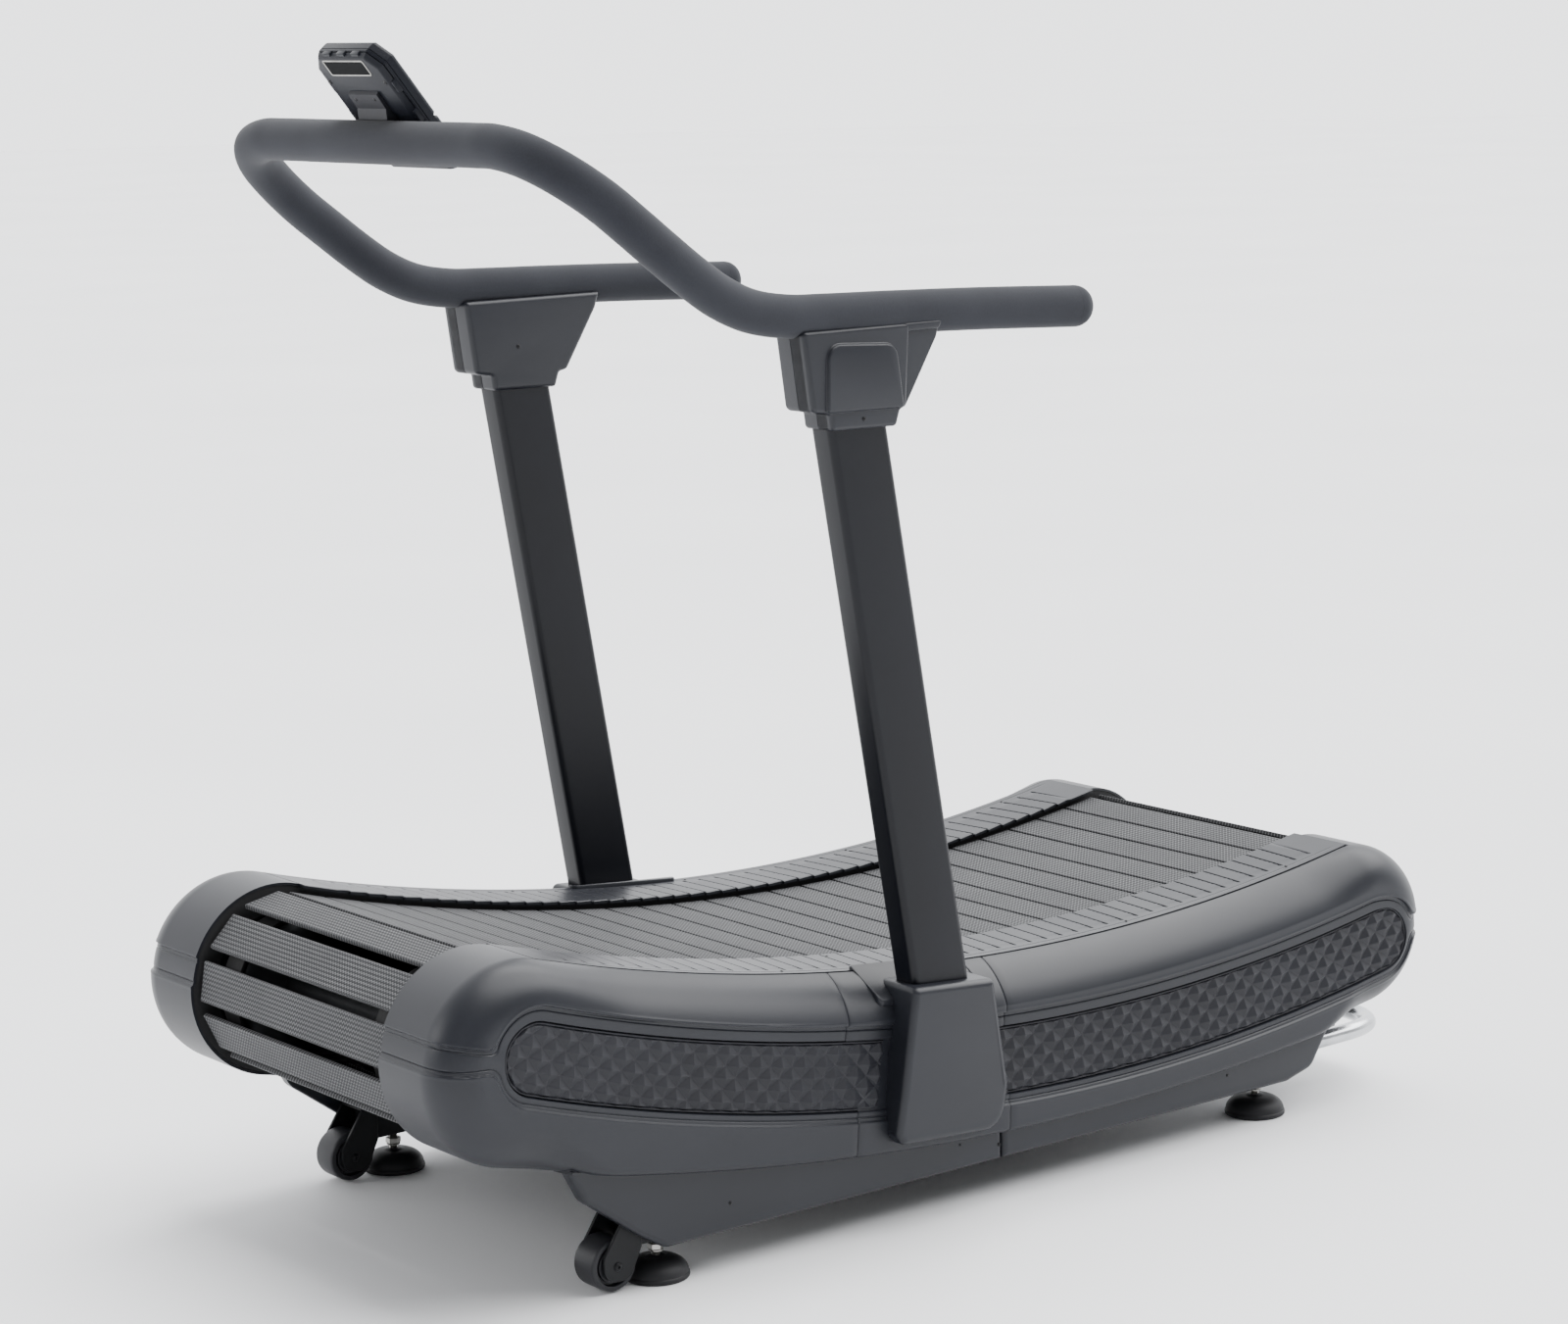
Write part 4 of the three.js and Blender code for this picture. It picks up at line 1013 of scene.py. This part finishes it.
def tube(path, radius, sides=40):
    """A round bar along a path: rings across the path, upright against world Z. The radius
    may change from ring to ring."""
    path = np.array(path, float)
    along = np.gradient(path, axis=0)
    along /= np.linalg.norm(along, axis=1)[:, None]
    side = np.cross(along, [0, 0, 1])
    side /= np.linalg.norm(side, axis=1)[:, None]
    up = np.cross(side, along)
    angle = np.linspace(0, 2 * np.pi, sides, endpoint=False)
    radius = np.broadcast_to(radius, len(path))[:, None, None]
    ring = side[:, None] * np.cos(angle)[None, :, None] + up[:, None] * np.sin(angle)[None, :, None]
    return rings(path[:, None] + ring * radius)


def foam_finish():
    """Closed-cell foam: matt dark grey skin with a fine pebbled surface and a soft sheen."""
    foam = Finish("grip_foam", Specular_IOR_Level=0.12, Sheen_Weight=0.1, Sheen_Roughness=0.6)
    cells = foam.node("ShaderNodeTexVoronoi", {"feature": "SMOOTH_F1"}, Vector=foam.place,
                      Scale=900.0)
    pebble = foam.noise(420, 4)
    cloud = foam.noise(6, 4)
    return foam.surface(
        colour=foam.blend((cloud * 0.7 + pebble * 0.3).step(0.3, 0.7),
                          (0.016, 0.0172, 0.0225, 1), (0.024, 0.0258, 0.0320, 1)),
        roughness=0.85 + pebble * 0.1, relief=cells * 0.6 + pebble * 0.6, depth=0.00016)


grip_foam = foam_finish()
whole_bar = HALF_BAR + [(-x, y, z) for x, y, z in HALF_BAR[::-1]]
bar_line = curve_through(whole_bar, 420)
foam_sleeve = make("handlebar_foam_sleeve", [tube(bar_line, FOAM_RADIUS, 48)], grip_foam, "base",
                   ["handlebar_foam", "handlebar_tube"], 60)


def grip_end(side):
    """Rounded foam end: a quarter-ellipse dome turned about the grip's axis."""
    turn = np.linspace(0, np.pi / 2, 16)[:-1]
    away = np.array([0, 160.0, -8.0]) / math.hypot(160, 8)
    start = np.array([388.0, 160.2, 1220])
    reach = np.concatenate([[0], 6 + 23.8 * np.sin(turn)])
    radius = np.concatenate([[FOAM_RADIUS], FOAM_RADIUS * np.cos(turn) ** 0.8])
    path = start + away * reach[:, None]
    return mirrored(tube(path, radius, 48), side)


for side, sign in (("left", 1), ("right", -1)):
    cap = make(f"{side}_grip_end", [grip_end(sign)], grip_foam, "base", [f"{side}_grip_cap"],
               60)

# ---- console ------------------------------------------------------------------------
# A small two-part plastic case with a sunk display and three rubber keys, tilted towards
# the runner. Its back carries a blank name plate, clip notches and the screwed mounts.
CONSOLE_AT, CONSOLE_TILT = np.array([0, -608.5, 1426.0]), math.radians(38.5)
CASE_WIDE, CASE_TALL = 156.0, 195.0
KEYS_MIDDLE = 46.0


def console_place(local):
    """Console frame to machine frame: x across, y out to the runner, z up its face."""
    x, y, z = np.moveaxis(np.array(local, float), -1, 0)
    c, s = math.cos(CONSOLE_TILT), math.sin(CONSOLE_TILT)
    return CONSOLE_AT + np.stack([x, y * c - z * s, y * s + z * c], -1)


def on_console(edge, levels):
    """A stack whose levels are (y, inset) and whose outline is (x, z) in the console frame."""
    lines = [(y, edge(inset)) for y, inset in levels]
    grid = np.stack([np.stack([a[:, 0], np.full(len(a), y), a[:, 1]], -1) for y, a in lines])
    return rings(console_place(grid))


def chamfered(x0, x1, z0, z1, cut_low, cut_high, soft=3.0, steps=4):
    """A rectangle with sloping corners, each bend softly rounded."""
    return rounded([(x0 + cut_low, z0), (x1 - cut_low, z0), (x1, z0 + cut_low),
                    (x1, z1 - cut_high), (x1 - cut_high, z1), (x0 + cut_high, z1),
                    (x0, z1 - cut_high), (x0, z0 + cut_low)], soft, steps)


def frame_round(x0, x1, z0, z1, hole, cut_low, cut_high, y0, y1):
    """Raised frame round a window: rings of points over its outer and inner walls."""
    outer = chamfered(x0, x1, z0, z1, cut_low, cut_high)
    inner = rounded([(hole[0], hole[2]), (hole[1], hole[2]), (hole[1], hole[3]),
                     (hole[0], hole[3])], 4.5, 8)
    lines = [(y0, outer(0)), (y1 - 3.2, outer(0.6)), (y1 - 0.8, outer(2.4)), (y1, outer(4.4)),
             (y1, inner(-1.6)), (y1 - 0.7, inner(-0.5)), (y1 - 2.2, inner(0)), (y0, inner(0))]
    grid = np.stack([np.stack([a[:, 0], np.full(len(a), y), a[:, 1]], -1) for y, a in lines])
    return torus(console_place(grid))


console_plastic = cover_finish("console_plastic", 0.14)
half = CASE_WIDE / 2
back_line = chamfered(-half, half, 0, CASE_TALL, 10, 21)
back_case = [on_console(back_line, [
    (0, 8.5), (0.5, 6.6), (2.0, 5.0), (6.2, 2.2), (6.8, 1.6), (7.0, 3.2), (8.2, 3.2), (8.4, 1.0),
    (9.0, 0.5), (12.6, 0.2), (13.0, 0.9)])]
for z in (44, 92, 140):
    for sign in (-1, 1):
        clip = rounded([(sign * 71.5, z - 8), (sign * 78, z - 10), (sign * 78, z + 10),
                        (sign * 71.5, z + 8)], 1.4, 4)
        back_case.append(on_console(clip, [(2.4, 1.2), (3.2, 0.3), (8.6, 0), (8.8, 0.4)]))
for x in (-34, 0, 34):
    clip = rounded([(x - 8, 188.5), (x + 8, 188.5), (x + 10, 195), (x - 10, 195)], 1.4, 4)
    back_case.append(on_console(clip, [(2.4, 1.2), (3.2, 0.3), (8.6, 0), (8.8, 0.4)]))
make("console_back_case", back_case, console_plastic, "base", ["console_back_shell"],
     40)

front_line = chamfered(-half, half, 0, CASE_TALL, 10, 21)
front_case = [on_console(front_line, [(13.3, 0.9), (13.8, 0.1), (16, 0), (22.6, 0), (22.8, 0.5)])]
front_case.append(frame_round(-half, half, 76.2, CASE_TALL, (-62, 62, 82, 174), 3, 21, 22.6, 28))
front_case.append(frame_round(-half, half, 0, 75.8, (-58, 58, 30, 62), 10, 3, 22.6, 28))
make("console_front_case", front_case, console_plastic, "base", ["console_front_shell"],
     40)


def screen_finish(name, dark, light):
    """Display window: smooth glossy plastic with the faintest mottling under the gloss."""
    glass = Finish(name, 0.08, Coat_Weight=0.6, Coat_Roughness=0.03)
    haze = glass.noise(30, 3)
    return glass.surface(colour=glass.blend(haze.step(0.3, 0.7), dark, light),
                         roughness=0.06 + haze * 0.06)


window = rounded([(-61.6, 82.4), (61.6, 82.4), (61.6, 173.6), (-61.6, 173.6)], 4, 6)
display = rounded([(-54, 92), (54, 92), (54, 164), (-54, 164)], 1.5, 4)
make("console_window", [on_console(window, [(22.9, 0.4), (25.2, 0), (25.8, 0.6)])],
     screen_finish("screen_black", (0.006, 0.007, 0.008, 1), (0.009, 0.010, 0.012, 1)), "base",
     ["console_screen"])
make("console_display", [on_console(display, [(25.5, 0.3), (25.95, 0), (26.05, 0.2)])],
     screen_finish("screen_glass", (0.040, 0.046, 0.040, 1), (0.046, 0.052, 0.047, 1)), "base",
     ())


def rubber_finish(name, dark, light, rough):
    """Black moulded rubber: fine grain, a little dusty bloom, almost no gloss."""
    rubber = Finish(name, Specular_IOR_Level=0.3)
    grain = rubber.noise(800, 3)
    bloom = rubber.noise(12, 4)
    return rubber.surface(colour=rubber.blend(bloom.step(0.35, 0.75), dark, light),
                          roughness=rough + grain * 0.15, relief=grain, depth=0.00005)


key_rubber = rubber_finish("key_rubber", (0.010, 0.010, 0.0115, 1), (0.014, 0.014, 0.016, 1), 0.6)
for label, x in (("left", 38), ("middle", 0), ("right", -38)):
    key = rounded([(x - 13, KEYS_MIDDLE - 8), (x + 13, KEYS_MIDDLE - 8),
                   (x + 13, KEYS_MIDDLE + 8), (x - 13, KEYS_MIDDLE + 8)], 6.5, 8)
    make(f"console_key_{label}", [on_console(key, [
        (24.6, 0.5), (25.0, 0), (28.0, 0.1), (28.9, 0.6), (29.3, 1.4), (29.5, 2.8), (29.2, 5.0)])],
         key_rubber, f"button_{label}", [f"console_button_{label}"], 45)

plate = rounded([(-46, 163), (46, 163), (46, 184), (-46, 184)], 1.5, 4)
make("console_name_plate", [on_console(plate, [(1.0, 0), (-0.1, 0), (-0.3, 0.3)])],
     powder_coat("blank_plate", (0.006, 0.0065, 0.007, 1), (0.008, 0.0085, 0.009, 1), 0.6, 0.04), "base")


def bright_metal(name, dark, light, rough, per_metre=40):
    """Bright plated metal: faint cloudy tarnish over fine drawn lines."""
    metal = Finish(name, Metallic=1.0)
    cloud = metal.noise(per_metre, 4)
    fine = metal.noise(1600, 2)
    return metal.surface(colour=metal.blend(cloud.step(0.3, 0.75), dark, light),
                         roughness=rough + cloud * 0.1, relief=fine, depth=0.00005)


zinc = bright_metal("zinc_plate", (0.30, 0.295, 0.275, 1), (0.46, 0.45, 0.43, 1), 0.25)
rim_grid = []
for y, grow in ((1.0, 2.2), (-0.5, 2.2), (-0.9, 1.7), (-0.9, 0.5), (-0.5, 0.0), (1.0, 0.0)):
    line = plate(-grow)
    rim_grid.append(np.stack([line[:, 0], np.full(len(line), y), line[:, 1]], -1))
make("console_plate_rim", [torus(console_place(np.stack(rim_grid)))], zinc, "base")

for node in ("console_bracket", "console_clamp"):
    finish_node(node, inlay_plastic)

# ---- feet ---------------------------------------------------------------------------
# Four levelling feet: a rubber dome on a zinc-plated threaded stud with a lock nut.
foot_rubber = rubber_finish("foot_rubber", (0.011, 0.011, 0.0128, 1), (0.016, 0.016, 0.0184, 1), 0.5)
turn = np.linspace(0, np.pi / 2, 20)[:-1]
DOME = ([(40.5, 0), (42.6, 0.5), (43.9, 1.8), (44.3, 3.6), (44.0, 6.0), (43.0, 7.2)] +
        [(12 + 30.6 * math.cos(t) ** 0.9, 7.6 + 20.6 * math.sin(t)) for t in turn] +
        [(12.0, 28.6), (10.4, 29.6), (6.2, 29.8)])
for side, sign in (("left", 1), ("right", -1)):
    for row in ("front", "rear"):
        node = f"{side}_{row}_foot"
        low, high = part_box(node)
        x, y = (low.x + high.x) * 500, (low.y + high.y) * 500
        at = (x, y, low.z * 1000)
        pitches = np.arange(30.5, 86, 0.75)
        thread = [(6.0 if k % 2 else 5.3, z) for k, z in enumerate(pitches)]
        stud = turned([(5.2, 26.0)] + thread + [(5.0, 87.0), (4.2, 88.0)], "z", at, 28)
        nut = turned([(9.2, 37.6), (10.9, 38.6), (10.9, 45.4), (9.2, 46.4)], "z", at, 6)
        washer = turned([(9.6, 35.6), (10.0, 36.0), (10.0, 37.2), (9.6, 37.5)], "z", at, 40)
        make(f"{node}_dome", [turned(DOME, "z", at, 80)], foot_rubber, f"{side}_{row}_level",
             [node], 40)
        make(f"{node}_stud", [stud, nut, washer], zinc, f"{side}_{row}_level")

# ---- transport wheels -----------------------------------------------------------------
# Hard black wheels in pressed steel forks bolted to the front of the floor rails.
wheel_rubber = rubber_finish("wheel_tyre", (0.016, 0.0165, 0.0195, 1), (0.024, 0.0245, 0.0285, 1), 0.36)
WHEEL_SIDE = [(7.4, 18.5), (14, 18.5), (14.6, 20.8), (22.6, 20.8), (23.4, 20.2), (23.9, 15.5),
              (26.6, 15.5), (27.0, 20.6), (28.0, 22.0), (31.6, 22.0), (33.6, 21.2),
              (34.7, 19.4), (35.0, 17.0)]
FORK = [(-561, 58), (-561, 106), (-584, 106), (-621, 52), (-621, 17.5), (-580, 17.5)]


def screw(at, way, radius, rise=None):
    """A pan-head screw: a low dome with a sunk socket, turned about the way it points."""
    rise = radius * 0.45 if rise is None else rise
    t = np.linspace(0, 1.25, 7)
    dome = [(radius * math.cos(a), rise * math.sin(a)) for a in t]
    profile = [(radius, -1.0)] + dome + [(radius * 0.3, rise * 0.9), (radius * 0.26, rise * 0.2)]
    points, faces = turned(profile, "z", (0, 0, 0), 20)
    turn_to = np.array(Vector((0, 0, 1)).rotation_difference(Vector(way)).to_matrix())
    return points @ turn_to.T + np.array(at, float), faces


for side, sign in (("left", 1), ("right", -1)):
    middle = centre_of(f"{side}_transport_wheel")
    x, y, z = middle
    profile = [(r, -h) for r, h in WHEEL_SIDE] + WHEEL_SIDE[::-1]
    make(f"{side}_wheel_tyre", [turned(profile, "x", middle, 96)], wheel_rubber,
         f"{side}_wheel", [f"{side}_transport_wheel"], 30)
    line = rounded(FORK, [3, 5, 12, 16, 20, 17], 9)
    cheeks = [stack(line, [(x + d - 2.4, 0.8), (x + d - 1.8, 0), (x + d + 1.8, 0),
                           (x + d + 2.4, 0.8)]) for d in (-26.4, 26.4)]
    bridge = rounded([(-566, 60), (-561, 60), (-561, 106), (-585, 106), (-587, 102.5),
                      (-568, 101)], [1, 1, 4, 1.2, 1.2, 4], 5)
    cheeks.append(stack(bridge, [(x - 25.5, 0.5), (x - 25, 0), (x + 25, 0), (x + 25.5, 0.5)]))
    cheeks.append(turned([(7, -27), (7, 27)], "x", middle, 32))
    make(f"{side}_fork_plates", cheeks, frame_steel, "base", [f"{side}_wheel_fork"],
         35)
    make(f"{side}_wheel_bolts", [screw((x + d, y, z), (math.copysign(1, d), 0, 0), 6.0, 3.0)
                                 for d in (-29.0, 29.0)], frame_steel, "base")

# ---- rear lift handle --------------------------------------------------------------------
# Bent bright tube under the tail, welded to the ends of the floor rails.
lift_chrome = bright_metal("lift_chrome", (0.42, 0.43, 0.445, 1), (0.56, 0.57, 0.585, 1), 0.16, 15)
HALF_LIFT = [(317, 600.3), (317, 680), (317, 740), (313, 796), (298, 832), (268, 853),
             (220, 861), (100, 861)]
lift_points = [(x, y, 86) for x, y in HALF_LIFT] + [(-x, y, 86) for x, y in HALF_LIFT[::-1]]
collars = [turned([(13, 0), (19, 0.2), (19, 3.2), (17.6, 4.2), (13, 5)], "x", (0, 0, 0), 40)
           for _ in (-1, 1)]
collars = [(np.stack([p[:, 1] + sign * 317, p[:, 0] + 600.4, p[:, 2] + 86], -1),
            [np.asarray(f)[..., ::-1] for f in faces])
           for sign, (p, faces) in zip((-1, 1), collars)]
make("rear_lift_tube", [tube(curve_through(lift_points, 260), 13.0, 32), *collars], lift_chrome,
     "base", ["rear_lift_handle"], 40)

# ---- screws ------------------------------------------------------------------------------
# Black machine screws through the covers, skirts, foot strips, brackets and console mounts.
screw_black = powder_coat("screw_black", (0.008, 0.008, 0.009, 1), (0.012, 0.012, 0.013, 1), 0.35)
SIDE_SCREWS = [(385.0, -190, 139, 4.2), (385.0, 38, 121, 4.2), (372.2, -437, 94, 2.6),
               (372.2, 27, 77, 2.8), (372.2, -43, 91, 2.2), (372.2, 464, 90, 2.2),
               (415.2, -222, 1103, 2.8)]
STRIP_SCREWS = [(316, -300), (316, 10), (316, 320), (316, 640), (236, -160), (236, 470)]
screws = []
for sign in (-1, 1):
    for x, y, z, radius in SIDE_SCREWS:
        screws.append(screw((sign * x, y, z), (sign, 0, 0), radius))
    screws.append(screw((sign * 353.9, -231, 1152), (-sign, 0, 0), 3.2))
    for x, y in STRIP_SCREWS:
        at, up = loop_points("top", np.array([float(y)]))
        screws.append(screw((sign * x, at[0, 0], at[0, 1] + 0.2), (0, up[0, 0], up[0, 1]), 2.4))
console_back = console_place([(0, -1, 0), (0, 0, 0)])
back_way = tuple(console_back[0] - console_back[1])
for x, y, z in ((-22, -4.6, 126), (22, -4.6, 126), (-66, 0.2, 150), (66, 0.2, 150),
                (-66, 0.2, 24), (66, 0.2, 24), (-22, -4.6, 30), (22, -4.6, 30)):
    screws.append(screw(console_place([(x, y, z)])[0], back_way, 3.4))
make("black_screws", screws, screw_black, "base")

# ---- floor and light --------------------------------------------------------------
# A pale studio floor that runs to the horizon, under one wide even light from the ceiling
# and two weak soft boxes at the front and the nose.


def floor_finish():
    """Matt white floor paint, evened out but for faint clouds."""
    paint = Finish("studio_floor", 0.7)
    cloud = paint.noise(0.8, 2)
    return paint.surface(colour=paint.blend(cloud.step(0.2, 0.8), (0.83, 0.835, 0.85, 1),
                                            (0.87, 0.875, 0.885, 1)))


angle = np.linspace(0, 2 * np.pi, 64, endpoint=False)
floor_mesh = bpy.data.meshes.new("floor")
floor_mesh.from_pydata(np.stack([40 * np.cos(angle), 40 * np.sin(angle), 0 * angle], -1).tolist(),
                       [], [list(range(64))])
floor_mesh.materials.append(floor_finish())
floor = bpy.data.objects.new("floor", floor_mesh)
bpy.context.scene.collection.objects.link(floor)

# The backdrop is bright and the room behind the camera is dim: the strength rises with how
# far a direction points away from the camera.
world = bpy.data.worlds.new("studio")
world.use_nodes = True
sky = world.node_tree.nodes
towards = sky.new("ShaderNodeTexCoord")
away = sky.new("ShaderNodeVectorMath")
away.operation = "DOT_PRODUCT"
away.inputs[1].default_value = (-math.sin(AZIMUTH), math.cos(AZIMUTH), 0)
strength = sky.new("ShaderNodeMapRange")
strength.interpolation_type = "SMOOTHSTEP"
for key, value in enumerate((-0.35, 0.75, 0.4, 2.8), 1):
    strength.inputs[key].default_value = value
sky["Background"].inputs["Color"].default_value = (0.955, 0.965, 0.985, 1)
world.node_tree.links.new(towards.outputs["Generated"], away.inputs[0])
world.node_tree.links.new(away.outputs["Value"], strength.inputs["Value"])
world.node_tree.links.new(strength.outputs["Result"], sky["Background"].inputs["Strength"])
bpy.context.scene.world = world


def soft_box(name, at, aim, size, power):
    """A square soft box at one point, turned to face another."""
    data = bpy.data.lights.new(name, "AREA")
    data.shape = "RECTANGLE"
    data.size, data.size_y = size
    data.energy = power
    box = bpy.data.objects.new(name, data)
    box.location = at
    box.rotation_euler = (Vector(aim) - Vector(at)).to_track_quat("-Z", "Y").to_euler()
    bpy.context.scene.collection.objects.link(box)


ceiling_data = bpy.data.lights.new("ceiling", "SUN")
ceiling_data.energy, ceiling_data.angle = 6.4, math.radians(70)
ceiling = bpy.data.objects.new("ceiling", ceiling_data)
ceiling.rotation_euler = (math.radians(-27), math.radians(11), 0)
bpy.context.scene.collection.objects.link(ceiling)
soft_box("left_front", (3.4, -4.0, 2.6), (0, 0, 0.6), (2.0, 2.0), 8)
soft_box("nose", (-1.5, -4.5, 2.2), (0, -0.5, 0.4), (2.0, 2.0), 75)
